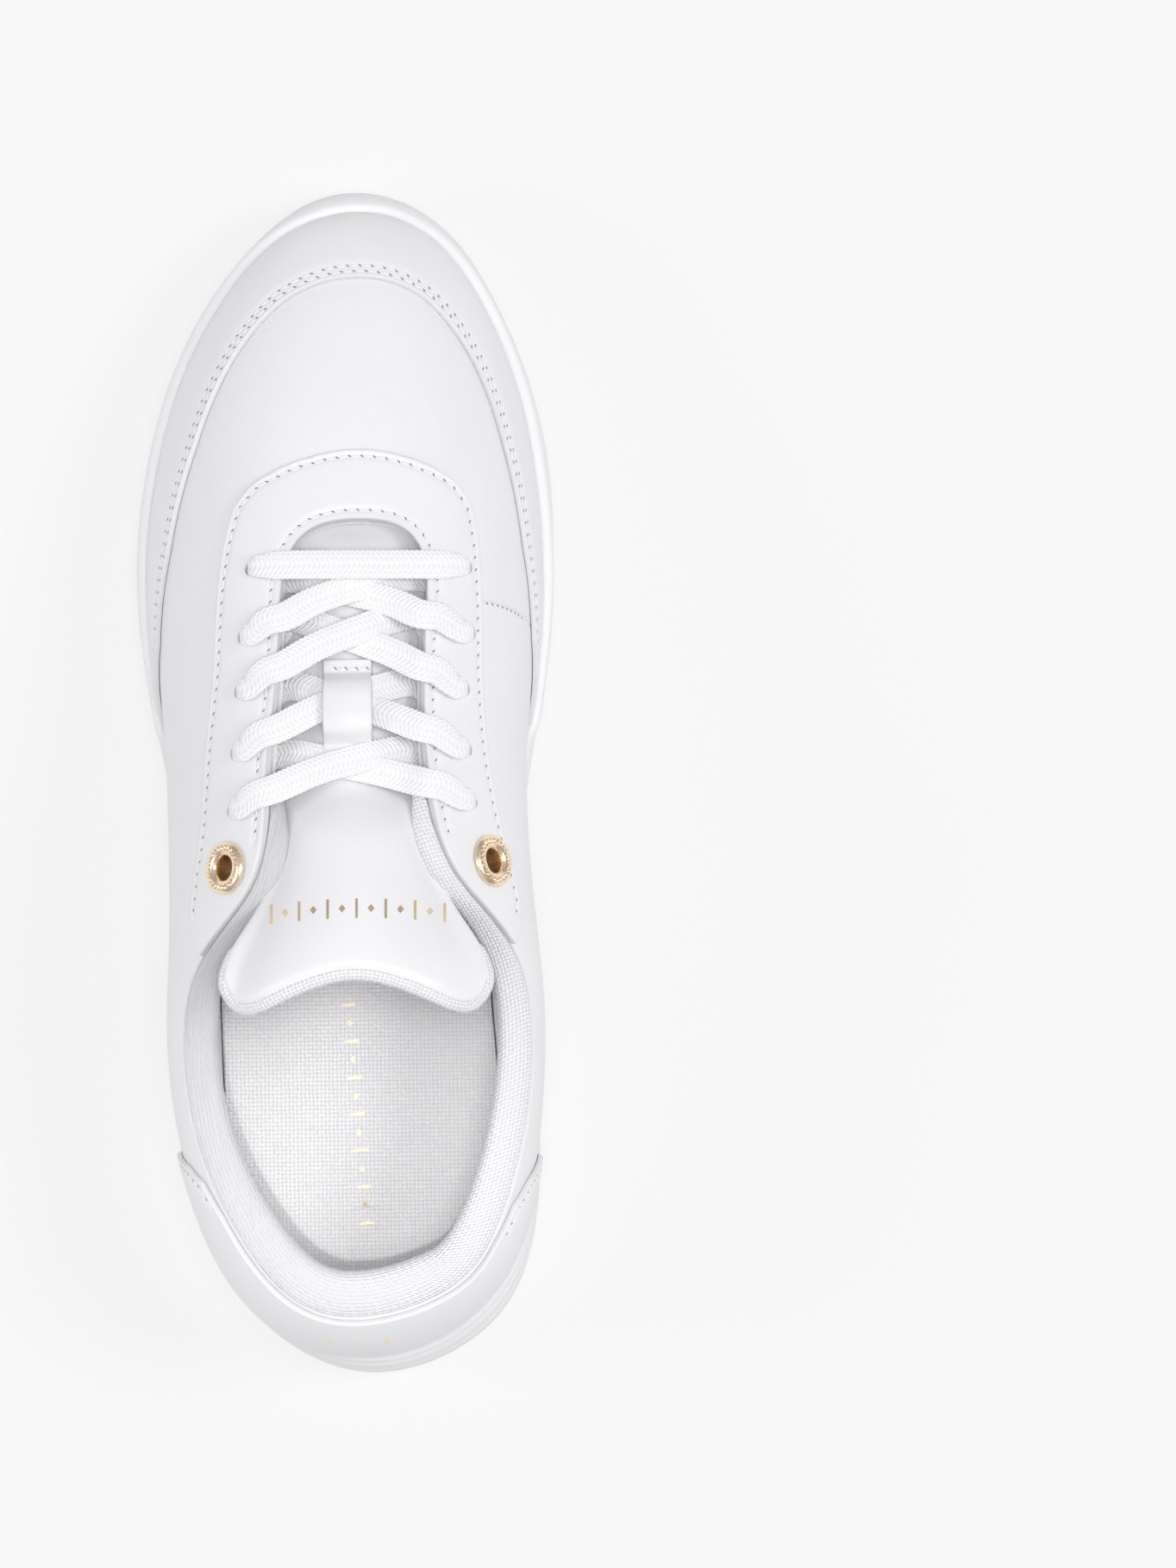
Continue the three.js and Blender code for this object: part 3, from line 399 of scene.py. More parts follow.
def distance_from(rows, points):
    """How far each point is from the nearest stitch line; the rows are (u, v) lines on the surface."""
    sewn = np.concatenate([bent_line(surface(u, v), 0.4)[0] for u, v in rows])
    tree = kdtree.KDTree(len(sewn))
    for i, p in enumerate(sewn):
        tree.insert(p, i)
    tree.balance()
    return np.array([tree.find(p)[2] for p in points.reshape(-1, 3)]).reshape(points.shape[:-1])


def inset_line(us, vs, inset):
    """(u, v) of the line that runs inset mm to the side of a line on the surface; + is up the shoe."""
    tangent = unit(np.gradient(surface(us, vs), axis=0))
    side = unit(np.cross(tangent, normal_of(us, vs)))
    su, sv = slopes(us, vs)
    side *= np.sign(np.sum(side * sv, -1, keepdims=True))
    a, b, c = np.sum(su * su, -1), np.sum(su * sv, -1), np.sum(sv * sv, -1)
    e, f = np.sum(su * side, -1) * inset, np.sum(sv * side, -1) * inset
    det = a * c - b * b
    return us + (e * c - f * b) / det, vs + (a * f - b * e) / det


def seam_frames(points, normals, pitch):
    """Evenly spaced places on a line: centre, direction and outward normal of each stitch."""
    s = run_length(points, 0)
    count = max(int(round(s[-1] / pitch)), 1)
    centre = (np.arange(count) + 0.5) * s[-1] / count
    at = lambda values, t: np.stack([np.interp(t, s, values[:, k]) for k in range(3)], -1)
    here, normal = at(points, centre), unit(at(normals, centre))
    direction = unit(at(points, centre + 0.4) - at(points, centre - 0.4))
    return here, direction, unit(normal - np.sum(normal * direction, -1, keepdims=True) * direction)


def stitches(name, rows, pitch=2.9, length=2.25, radius=0.27, lean=0.5):
    """Rows of thread stitches, each a short bowed capsule, with a dark plug at one end as painted shadow of the needle
    hole it comes up from.
    """
    rings, sides = 9, 8
    t, around = np.linspace(-1, 1, rings), circle(sides)
    width = radius * np.sqrt(np.clip(1 - t ** 6, 0.02, 1))
    bow = 0.3 * (1 - np.abs(t) ** 2.4) - 0.22
    thread = np.stack([np.broadcast_to(t[:, None] * length / 2, (rings, sides)), width[:, None] * np.cos(around),
                       bow[:, None] + width[:, None] * np.sin(around) * 0.8], -1).reshape(-1, 3)
    # the dark disc at each stitch's end is painted shadow of the needle hole, not a real hole
    hole = np.stack([0.38 * np.cos(around), 0.24 * np.sin(around) + lean * 0.5 * np.cos(around), 0 * around], -1)
    hole_shadow_plug = np.concatenate([hole + (0, 0, -0.25), hole + (0, 0, 0.06)]) + (length / 2 + 0.25, 0, 0)
    stitch = Pile()
    stitch.add(thread, tube_faces(sides, rings))
    kinds = [0] * len(stitch.faces) + [1] * (sides + 2)
    stitch.add(hole_shadow_plug, tube_faces(sides, 2))
    pile, finish = Pile(), []
    for line, normals in rows:
        centre, direction, normal = seam_frames(line, normals, pitch)
        basis = np.stack([direction, np.cross(direction, normal), normal], 1)
        for placed in centre[:, None] + np.einsum("sk,nkx->nsx", stitch.points(), basis):
            pile.add(placed, stitch.faces)
            finish += kinds
    make(name, pile.points(), pile.faces, [THREAD, HOLE_SHADE], "white_leather", finish_of=finish)


PUNCH_SIDES = 20


def cut_holes(obj, places, depth=26):
    """Round holes through a piece: places are (origin, axis, radius) in mm."""
    pile, around = Pile(), circle(PUNCH_SIDES)[:, None]
    for origin, axis, radius in places:
        side = unit(np.cross(axis, (0.3, 1, 0.2)))
        other = np.cross(axis, side)
        ring = origin + side * np.cos(around) * radius + other * np.sin(around) * radius
        pile.add(np.concatenate([ring - axis * depth / 2, ring + axis * depth / 2]), tube_faces(PUNCH_SIDES, 2))
    mesh = bpy.data.meshes.new("punch")
    mesh.from_pydata((pile.points() * MM).tolist(), [], pile.faces)
    if signed_volume(mesh) < 0:
        mesh.flip_normals()
    tool = link("punch", mesh)
    modifier = obj.modifiers.new("holes", "BOOLEAN")
    modifier.operation, modifier.object, modifier.solver = "DIFFERENCE", tool, "EXACT"
    graph = bpy.context.evaluated_depsgraph_get()
    result = bpy.data.meshes.new_from_object(obj.evaluated_get(graph))
    obj.modifiers.remove(modifier)
    obj.data = result
    result.shade_smooth()
    result.set_sharp_from_angle(angle=math.radians(50))
    bpy.data.objects.remove(tool)


def surface_at(w, y):
    """The shoe surface over the plan position (w, y), and its normal there."""
    u, v = locate(w, y)
    return surface(u, v), normal_of(u, v)


def hole_places():
    places = []
    for side in (-1, 1):
        places += [(*surface_at(w, y), HOLE_RADIUS) for w, y in HOLES[side]]
        places.append((*surface_at(*EYELETS[side]), EYELET_HOLE))
    return places


# ---------- materials ----------
class Shader:
    """A Principled material being put together from nodes."""

    def __init__(self, name, colour, roughness, **sockets):
        self.material = bpy.data.materials.new(name)
        self.material.use_nodes = True
        self.tree = self.material.node_tree
        self.bsdf = self.tree.nodes["Principled BSDF"]
        self.bsdf.inputs["Base Color"].default_value = (*colour, 1)
        self.bsdf.inputs["Roughness"].default_value = roughness
        for key, value in sockets.items():
            self.bsdf.inputs[key.replace("_", " ")].default_value = value
        self.colour = colour
        self.height = None

    def node(self, kind, *inputs, out=0, **settings):
        node = self.tree.nodes.new("ShaderNode" + kind)
        for key, value in settings.items():
            if key in node.inputs:
                self.feed(node.inputs[key], value)
            else:
                setattr(node, key, value)
        for i, value in enumerate(inputs):
            if value is not None:
                self.feed(node.inputs[i], value)
        return node.outputs[out]

    def feed(self, socket, value):
        if isinstance(value, bpy.types.NodeSocket):
            self.tree.links.new(value, socket)
        else:
            socket.default_value = value

    def math(self, operation, a, b=0.5):
        return self.node("Math", a, b, operation=operation)

    def place(self):
        """Coordinates of the mesh, in mm."""
        return self.node("Mapping", self.node("TexCoord", out=3), Scale=(1 / MM,) * 3)

    def map(self):
        """Coordinates of the piece's own map, in mm."""
        return self.node("TexCoord", out=2)

    def noise(self, where, scale, detail=3.0, roughness=0.55):
        return self.node("TexNoise", where, Scale=scale, Detail=detail, Roughness=roughness)

    def ramp(self, value, low, high, to_low=0.0, to_high=1.0):
        return self.node("MapRange", value, low, high, to_low, to_high)

    def bump(self, height, strength, distance):
        self.height = self.node("Bump", Strength=strength, Distance=distance, Height=height,
                                **({"Normal": self.height} if self.height else {}))
        self.tree.links.new(self.height, self.bsdf.inputs["Normal"])

    def tint(self, factor, other):
        """Mixes the base colour towards another one by a factor socket."""
        mix = self.tree.nodes.new("ShaderNodeMix")
        mix.data_type = "RGBA"
        sockets = [s for s in mix.inputs if s.type == "RGBA"]
        source = self.bsdf.inputs["Base Color"]
        if source.is_linked:
            self.tree.links.new(source.links[0].from_socket, sockets[0])
        else:
            sockets[0].default_value = (*self.colour, 1)
        sockets[1].default_value = (*other, 1)
        self.feed(mix.inputs[0], factor)
        result = [s for s in mix.outputs if s.type == "RGBA"][0]
        self.tree.links.new(result, source)

    def rough(self, value):
        self.feed(self.bsdf.inputs["Roughness"], value)


def mottled(s, value, colour, shade=0.965, most=0.5, low=0.35, high=0.7):
    """Cloudy patches of a slightly darker colour."""
    s.tint(s.ramp(value, low, high, 0.0, most), tuple(c * shade for c in colour))


def leather(name, colour, roughness):
    s = Shader(name, colour, roughness, Specular_IOR_Level=0.42, Coat_Weight=0.06, Coat_Roughness=0.35)
    where = s.map()
    cloud = s.noise(where, 0.045, 2)
    grain = s.node("TexVoronoi", where, Scale=1.35, feature="SMOOTH_F1", Smoothness=0.4)
    pores = s.noise(where, 4.2, 2, 0.6)
    creases = s.noise(where, 0.16, 4, 0.5)
    mottled(s, cloud, colour)
    mottled(s, grain, colour, 0.95, 0.22, 0.2, 0.62)
    # darker towards cut edges: partly the grey of the raw edge, partly painted shade under the raised edge
    edge = s.node("Attribute", out=2, attribute_name="edge")
    s.tint(s.math("MULTIPLY", edge, 0.55), (0.62, 0.615, 0.62))
    s.rough(s.ramp(s.noise(where, 0.3, 3), 0.3, 0.7, roughness - 0.05, roughness + 0.07))
    s.bump(creases, 0.12, 0.0006)
    s.bump(grain, 0.16, 0.00018)
    s.bump(pores, 0.14, 0.00006)
    return s.material


def woven(name, pitch, colour, depth, thread_gap_shade):
    """Plain weave: threads over and under each other at the pitch, in mm of the piece's own map."""
    s = Shader(name, colour, 0.86, Sheen_Weight=0.18, Sheen_Roughness=0.5, Specular_IOR_Level=0.25)
    where = s.map()
    split = s.node("SeparateXYZ", where)
    x, y = split, split.node.outputs[1]
    wobble = s.ramp(s.noise(where, 0.35, 2), 0, 1, -0.25 * pitch, 0.25 * pitch)
    x, y = s.math("ADD", x, wobble), s.math("ADD", y, wobble)
    wave = lambda a: s.math("ABSOLUTE", s.math("SINE", s.math("MULTIPLY", a, math.pi / pitch)))
    across_x, across_y = wave(x), wave(y)
    cell = s.node("CombineXYZ", x, y, 0.0)
    check = s.node("TexChecker", cell, Scale=1 / pitch, out=1)
    thread = lambda a, b: s.math("MULTIPLY", s.math("POWER", a, 0.6), s.ramp(b, 0, 1, 0.55, 1))
    one, two = thread(across_x, across_y), thread(across_y, across_x)
    height = s.node("Mix", check, None, one, two, data_type="FLOAT")
    slub = s.noise(where, 1.3, 3, 0.7)
    # painted shade between the threads: the low parts of the weave are darkened
    s.tint(s.ramp(height, 0.1, 0.75, thread_gap_shade, 0.0), tuple(c * 0.66 for c in colour))
    mottled(s, slub, colour, 0.9, 0.35, 0.35, 0.75)
    s.bump(height, 0.75, depth)
    s.bump(slub, 0.3, 0.0001)
    return s.material


def rubber(name, colour):
    s = Shader(name, colour, 0.5, Specular_IOR_Level=0.4)
    where = s.place()
    mottled(s, s.noise(where, 0.06, 3), colour)
    s.rough(s.ramp(s.noise(where, 0.5, 3), 0.3, 0.7, 0.44, 0.6))
    s.bump(s.noise(where, 2.4, 3, 0.6), 0.3, 0.0002)
    return s.material


def braid(name, colour):
    """Flat braided lace: the map runs in mm along it and from -1 to 1 across it."""
    s = Shader(name, colour, 0.82, Sheen_Weight=0.25, Sheen_Roughness=0.45, Specular_IOR_Level=0.25)
    where = s.map()
    split = s.node("SeparateXYZ", where)
    x, y = split, split.node.outputs[1]
    lean = s.math("MULTIPLY", s.math("ABSOLUTE", y), BRAID_LEAN)
    forward = s.math("SINE", s.math("MULTIPLY", s.math("ADD", x, lean), 2 * math.pi / BRAID_PITCH))
    ribs = s.math("SINE", s.math("MULTIPLY", y, 5.5 * math.pi))
    height = s.math("ADD", s.math("MULTIPLY", forward, 0.6), s.math("MULTIPLY", ribs, 0.4))
    fibre = s.noise(where, 5.0, 3, 0.7)
    # painted shade in the grooves of the braid: its low parts are darkened
    s.tint(s.ramp(height, -0.9, 0.3, 0.36, 0.0), tuple(c * 0.76 for c in colour))
    s.bump(height, 0.6, 0.00017)
    s.bump(fibre, 0.35, 0.00008)
    return s.material


def plain(name, colour, roughness, grain, depth, **sockets):
    s = Shader(name, colour, roughness, **sockets)
    value = s.noise(s.place(), grain, 4, 0.6)
    mottled(s, value, colour, 0.9)
    s.bump(value, 0.3, depth)
    return s.material


def gold(name, roughness, colour):
    s = Shader(name, colour, roughness, Metallic=1.0)
    where = s.place()
    s.rough(s.ramp(s.noise(where, 2.0, 3), 0.3, 0.7, roughness - 0.05, roughness + 0.08))
    s.tint(s.ramp(s.noise(where, 0.8, 2), 0.4, 0.7, 0.0, 0.4), tuple(c * f for c, f in zip(colour, (0.93, 0.85, 0.7))))
    s.bump(s.noise(where, 5.0, 3), 0.08, 0.00005)
    return s.material


LEATHER_SKIN = leather("white_leather", (0.87, 0.872, 0.876), 0.46)
TONGUE_SKIN = leather("tongue_leather", (0.882, 0.885, 0.89), 0.4)
COLLAR_CLOTH = woven("collar_textile", 0.95, (0.95, 0.946, 0.956), 0.00045, 0.42)
LINING_CLOTH = woven("lining_textile", 0.7, (0.95, 0.946, 0.956), 0.0002, 0.3)
CANVAS = woven("sockliner_canvas", 0.95, (0.985, 0.976, 0.98), 0.0005, 0.42)
RUBBER = rubber("sole_rubber", (0.88, 0.882, 0.886))
LACE_CLOTH = braid("lace_braid", (0.95, 0.952, 0.955))
# dark grey used as painted shadow in the needle holes at the stitch ends
HOLE_SHADE = plain("painted_hole_shadow", (0.3, 0.29, 0.3), 0.95, 3.0, 0.00002)
THREAD = plain("thread", (0.88, 0.882, 0.886), 0.6, 6.0, 0.0001)
GOLD = gold("gold_metal", 0.26, (0.98, 0.8, 0.59))
FOIL = gold("gold_foil", 0.36, (0.9, 0.75, 0.52))
WORN_FOIL = gold("worn_foil", 0.62, (0.84, 0.72, 0.53))
FOAM = plain("foam", (0.78, 0.76, 0.7), 0.95, 1.5, 0.0004)
EVA = plain("midsole_foam", (0.8, 0.79, 0.76), 0.9, 1.2, 0.0003)
BOARD_FIBRE = plain("fibre_board", (0.62, 0.54, 0.4), 0.95, 0.8, 0.0002)
STIFFENER = plain("stiffener", (0.7, 0.69, 0.65), 0.85, 2.0, 0.0001)
CLEAR = plain("lace_tip_film", (0.82, 0.83, 0.84), 0.12, 1.0, 0.00003, Transmission_Weight=0.35, IOR=1.5)


def piping(name, path, radius, sides=16):
    """A round textile cord along a path, tapered and closed at its ends."""
    tangent = unit(np.gradient(path, axis=0))
    side = unit(np.cross(tangent, (0, 0, 1)))
    other = np.cross(side, tangent)
    a, place = circle(sides), np.arange(len(path))
    taper = radius * np.maximum(rolled(np.minimum(place, place[::-1]), 6), math.sqrt(0.05))
    points = path[:, None] + taper[:, None, None] * (side[:, None] * np.cos(a)[None, :, None]
                                                     + other[:, None] * np.sin(a)[None, :, None])
    s = run_length(path, 0)
    uv = np.stack(np.broadcast_arrays(s[:, None], (a * radius)[None]), -1).reshape(-1, 2)
    return make(name, points.reshape(-1, 3), tube_faces(sides, len(path)), COLLAR_CLOTH, "lining_textile",
                body=None, uv=uv)


def foil_marks(name, places, size, on_skin, body="shoe", material=FOIL, lozenges=True):
    """A plain row of bars and lozenges pressed in foil: places are (x, y, angle) on the flat pattern."""
    bar = [(-0.3, -0.5), (0.3, -0.5), (0.3, 0.5), (-0.3, 0.5)]
    lozenge = [(0, -0.21), (0.8, 0), (0, 0.21), (-0.8, 0)]
    pile = Pile()
    for k, (x, y, angle) in enumerate(places):
        shape = np.array(lozenge if lozenges and k % 2 else bar) * (1, size)
        edges = np.concatenate([shape[i] + (shape[(i + 1) % 4] - shape[i]) * np.linspace(0, 1, 5)[:-1, None]
                                for i in range(4)])
        c, d = math.cos(angle), math.sin(angle)
        flat = np.stack([x + edges[:, 0] * c - edges[:, 1] * d, y + edges[:, 0] * d + edges[:, 1] * c], -1)
        pile.add(np.concatenate([on_skin(flat, 0.07), on_skin(flat, -0.08)]), tube_faces(len(flat), 2))
    return make(name, pile.points(), pile.faces, material, "gold_metal", body=body, angle=20)


# ---------- tongue shape ----------
def under_facing(w, y, extra=0.0):
    u, v = locate(w, y)
    return offset_point(u, v, -TONGUE_DROP - extra)


def tongue_rows(ys):
    """Five points across the lower tongue at each distance from the heel."""
    ys = np.asarray(ys, float)
    width = along(TONGUE_WIDTH, ys)
    deeper = 2.2 * smoothstep(-ys, -150, -138) - 1.6 * smoothstep(ys, 193, 200)
    left = under_facing(throat_edge(-1, ys) - 1.2, ys, deeper)
    right = under_facing(throat_edge(1, ys) + 1.2, ys, deeper)
    crown = (left + right) / 2
    crown[:, 2] += 5.0 - 3.4 * smoothstep(ys, 185, 200) + 1.5 * smoothstep(-ys, -180, -131)
    crown[:, 1] = ys - LENGTH / 2
    rows = np.stack([under_facing(-width, ys, deeper), left, crown, right, under_facing(width, ys, deeper)], 1)
    far = ys > 198
    for k, s in enumerate((-1, -0.55, 0.03, 0.6, 1)):
        y = np.maximum(ys, 202) if s == 0.03 else ys
        rows[far, k] = under_facing(s * width, y, deeper)[far]
    return rows


def flap_rows(ys):
    ys = np.asarray(ys, float)
    places, *values = np.array(FLAP, float).T
    width, centre, low, high = (np.interp(ys, places, value) for value in values)
    shoulder = high - (high - low) * 0.3
    columns = [(-1, low), (-0.62, shoulder), (0, high), (0.62, shoulder), (1, low)]
    return np.stack([np.stack([s * width + AXIS_X + centre, ys - LENGTH / 2, z], -1) for s, z in columns], 1)


TABLE_STEP = 0.5
TABLE_YS = np.arange(130.0, 211.0, TABLE_STEP)
TABLE_LINES = catmull(tongue_rows(TABLE_YS), np.linspace(0, 1, 121))


def tongue_top(w, y):
    """Points on the lower tongue's upper face over the plan positions (w, y)."""
    w, y = np.broadcast_arrays(np.atleast_1d(np.asarray(w, float)), np.asarray(y, float))
    z = []
    for a, b in zip(w, y):
        place = np.clip((b - TABLE_YS[0]) / TABLE_STEP, 0, len(TABLE_YS) - 2)
        i = int(place)
        low, high = (np.interp(a + AXIS_X, TABLE_LINES[k][:, 0], TABLE_LINES[k][:, 2]) for k in (i, i + 1))
        z.append(low + (high - low) * (place - i))
    return np.stack([w + AXIS_X, y - LENGTH / 2, np.array(z)], -1)


# ---------- lace: the first of the pieces ----------
LACE_OVER = OVERLAY + 3 * GAP + LACE_THICK / 2
LACE_UNDER = -(FACING + 3 * GAP + LACE_THICK / 2)
INSTEP = np.array((0, 0.955, -0.295))
LACE_WIDTH = 7.0
GATHERED = (2.9, 1.8)  # width and depth of the lace where a hole gathers it


def facing_point(side, row, distance, inward=0.0):
    """A point off the leather at a lace hole, or so far inward of it."""
    w, y = HOLES[side][row]
    return surface(*locate(w - side * inward, y)) + normal_of(*locate(w, y)) * distance


def over_tongue(w, y, layer):
    p = tongue_top(w, y)[0]
    p[2] += GAP + LACE_THICK / 2 + layer * (LACE_THICK + GAP)
    return p


def strap(side, row):
    """The lace from under one facing, over the tongue and to the hole on the other side."""
    exit_y = LACE_EXITS[row]
    end_w, end_y = HOLES[-side][row + 1]
    edge_w = float(throat_edge(side, exit_y))
    bow, peak = (2.7, 1.25) if side > 0 else (1.7, 1.9)

    def y_at(w):
        t = min(max((edge_w - w) / (edge_w - end_w), 0), 1)
        return exit_y + (end_y - exit_y) * t + bow * math.sin(math.pi * t ** peak)

    far_w = float(throat_edge(-side, y_at(-side * 16.5)))
    near_edge = under_facing(edge_w + side * 1.5, exit_y) + (0, 0, 2 * GAP + LACE_THICK / 2)
    u, v = locate(far_w - side * 1.8, y_at(far_w) - 0.7)
    rim = topline(u) + normal_of(u, 0.98) * (LACE_OVER + 0.3) + (side * 0.6, 0, 0)
    spots = ([(13, 0.3), (9, 0.5), (3, 1.35), (-6, 1.9), (-10.5, 2.8)] if side > 0 else
             [(-13, 0.4), (-9, 0.25), (-2, 0.2), (4, 0.9), (10.5, 2.8)])
    return [near_edge, *(over_tongue(w, y_at(w), layer) for w, layer in spots), rim,
            offset_point(u, v, LACE_OVER + 0.2)]


def through_hole(side, row):
    """The lace down one hole and inwards under the facing."""
    places = [(LACE_OVER + 0.5, 3.6), (LACE_OVER + 0.3, 1.5), (0.7, -0.45), (1 - FACING, 0), (LACE_UNDER + 0.2, 0.6),
              (LACE_UNDER - 0.4, 2.2), (LACE_UNDER - 0.1, 4.4)]
    return [facing_point(side, row, distance, inward) for distance, inward in places]


def tail(side):
    """The hidden end of the lace, tucked between the upper and the tongue."""
    spots = [(5.9, 0.8, 5.6), (6.15, 0.7, 6.8), (6.6, 0.52, 7), (7.2, 0.4, 7), (7.8, 0.32, 7), (8.3, 0.28, 7.4),
             (8.6, 0.26, 8.4), (8.7, 0.25, 8.9)]
    return [offset_point(t if side < 0 else ROUND - t, v, -depth) for t, v, depth in spots]


def lace_half(side):
    points = []
    for row in range(4):
        points += [*through_hole(side, row), *strap(side, row)]
        side = -side
    return [*points, *through_hole(side, 4)[:5], *tail(side)]


def hole_distance(path):
    """How far each point of the path is from the nearest lace hole."""
    holes = np.array([facing_point(side, row, -0.9) for side in (-1, 1) for row in range(5)])
    return np.linalg.norm(path[:, None] - holes[None], axis=-1).min(1)


def lace_route():
    bar = [facing_point(-1, 0, LACE_OVER + 1, 9), facing_point(1, 0, LACE_OVER + 1, 9)]
    points = np.array([*lace_half(-1)[::-1], *bar, *lace_half(1)])
    path, _ = bent_line(catmull(points, np.linspace(0, 1, 24 * len(points))), 0.3)
    free = smoothstep(hole_distance(path), 3.0, 7.5)[:, None]
    path = smoothed(path, 6)
    path = path * (1 - free) + smoothed(path, 22) * free
    return bent_line(smoothed(path, 4), 0.34)


def smoothed(values, reach):
    kernel = np.exp(-np.linspace(-2, 2, 2 * reach + 1) ** 2)
    kernel /= kernel.sum()
    padded = np.concatenate([np.repeat(values[:1], reach, 0), values, np.repeat(values[-1:], reach, 0)])
    return np.stack([np.convolve(padded[:, k], kernel, "valid") for k in range(values.shape[1])], -1)


def build_lace():
    path, s = lace_route()
    tangent = unit(np.gradient(path, axis=0))
    known = np.abs(tangent[:, 1]) < 0.8
    index = np.arange(len(path))
    nearest = index[known][np.abs(index[known][None, :] - index[:, None]).argmin(1)]
    lead = tangent[nearest]
    wide = INSTEP - lead * (lead @ INSTEP)[:, None]
    wide = unit(smoothed(unit(wide), 18))
    wide = unit(wide - tangent * np.sum(wide * tangent, -1, keepdims=True))
    thick = np.cross(tangent, wide)
    squeeze = np.minimum(smoothstep(hole_distance(path), -0.8, 8.6), smoothstep(np.minimum(s, s[-1] - s), 3, 14))
    width = GATHERED[0] + (LACE_WIDTH - GATHERED[0]) * squeeze
    depth = GATHERED[1] + (LACE_THICK + 0.05 - GATHERED[1]) * squeeze
    scallop = 1 + 0.022 * np.sin(2 * math.pi * s / BRAID_PITCH)
    sides = 24
    c, d = np.cos(circle(sides)), np.sin(circle(sides))
    flat_c = np.sign(c) * np.abs(c) ** 0.68
    flat_d = np.sign(d) * np.abs(d) ** 0.5
    belly = 1 - 0.1 * np.cos(3 * math.pi * c)
    rib = 1 + 0.07 * np.sin(2 * math.pi * (s[:, None] + BRAID_LEAN * np.abs(c)[None]) / BRAID_PITCH)
    points = (path[:, None] + wide[:, None] * (flat_c[None] * (width * scallop)[:, None] / 2)[..., None]
              + thick[:, None] * (flat_d * belly * depth[:, None] * rib / 2)[..., None])
    uv = np.stack(np.broadcast_arrays(s[:, None], c[None] * squeeze[:, None]), -1)
    obj = make("lace_braided", points.reshape(-1, 3), tube_faces(sides, len(path)), LACE_CLOTH, "cotton_lace",
               ["lace"], uv=uv.reshape(-1, 2), angle=80)
    route = bent_line(path, 1.0)[0] * MM


build_lace()


# ---------- leather panels ----------
GROOVE, GROOVE_WIDTH, EDGE_ROLL = 0.34, 0.75, 0.6
SKIN = 0.12  # how far the quarters and the vamp stand proud of the shoe surface


def panel(name, u0, u1, low, high, near, far, columns, rows, stands_for, rows_sewn=None, ends=False,
          bottom=True, material=LEATHER_SKIN, slot="white_leather", closed=(0.0, 0.0), skew=None):
    """A panel of the shoe surface with rolled cut edges and a groove along its stitch lines."""
    us = refined(u0, u1, columns) if ends else np.linspace(u0, u1, columns)
    t = station(us)
    lo, hi = np.broadcast_to(low(t), t.shape), np.broadcast_to(high(t), t.shape)
    vs = lo[:, None] + (hi - lo)[:, None] * cosine(rows)[None]
    across = us[:, None] + (0 * vs if skew is None else skew(us[:, None], vs))
    base = surface(across, vs)
    normal = normal_of(across, vs)
    up, round_ = run_length(base, 1), run_length(base, 0)
    reach = up[:, -1:] - up
    if bottom:
        reach = np.minimum(reach, up)
    if ends:
        reach = np.minimum(reach, np.minimum(round_ + closed[0], round_[-1:] - round_ + closed[1]))
    curl = rolled(reach, EDGE_ROLL)
    press = 0 if rows_sewn is None else GROOVE * np.exp(-(distance_from(rows_sewn, base) / GROOVE_WIDTH) ** 2)
    outer = base + normal * (far + (near - far) * (0.3 + 0.7 * curl) - press)[..., None]
    return make_shell(name, outer, base + normal * far, (round_, up), material, slot, stands_for, reach)


def edge_line(table, u0, u1, inset, count=900):
    us = np.linspace(u0, u1, count)
    return inset_line(us, along(table, station(us)), inset)


def on_surface(us, vs, height):
    return offset_point(us, vs, height), normal_of(us, vs)


def flat_at(v):
    return lambda t: np.full(np.shape(t), v)


TOP = GAP + OVERLAY
# Stitch lines on the surface: (u, v) arrays
GUARD_ROWS = [edge_line(MUDGUARD_EDGE, 6.35, 17.65, -inset) for inset in (1.5, 3.1)]
STAY_ROW = edge_line(EYESTAY_EDGE, 4.55, 19.45, 1.8)
THROAT_US = np.linspace(5.35, 18.65, 900)
THROAT_ROW = inset_line(THROAT_US, np.full(900, 0.999), -2.1)
HEEL_ROWS = [edge_line(HEEL_PATCH_EDGE, *ends, -1.8, 200) for ends in ((-2.68, -2.12), (2.12, 2.68))]


def seam_lean(v):
    """How far the medial forefoot seam runs towards the toe, in stations, as it climbs."""
    return np.clip(1.6 * (v - 0.46), -0.4, 0.5)


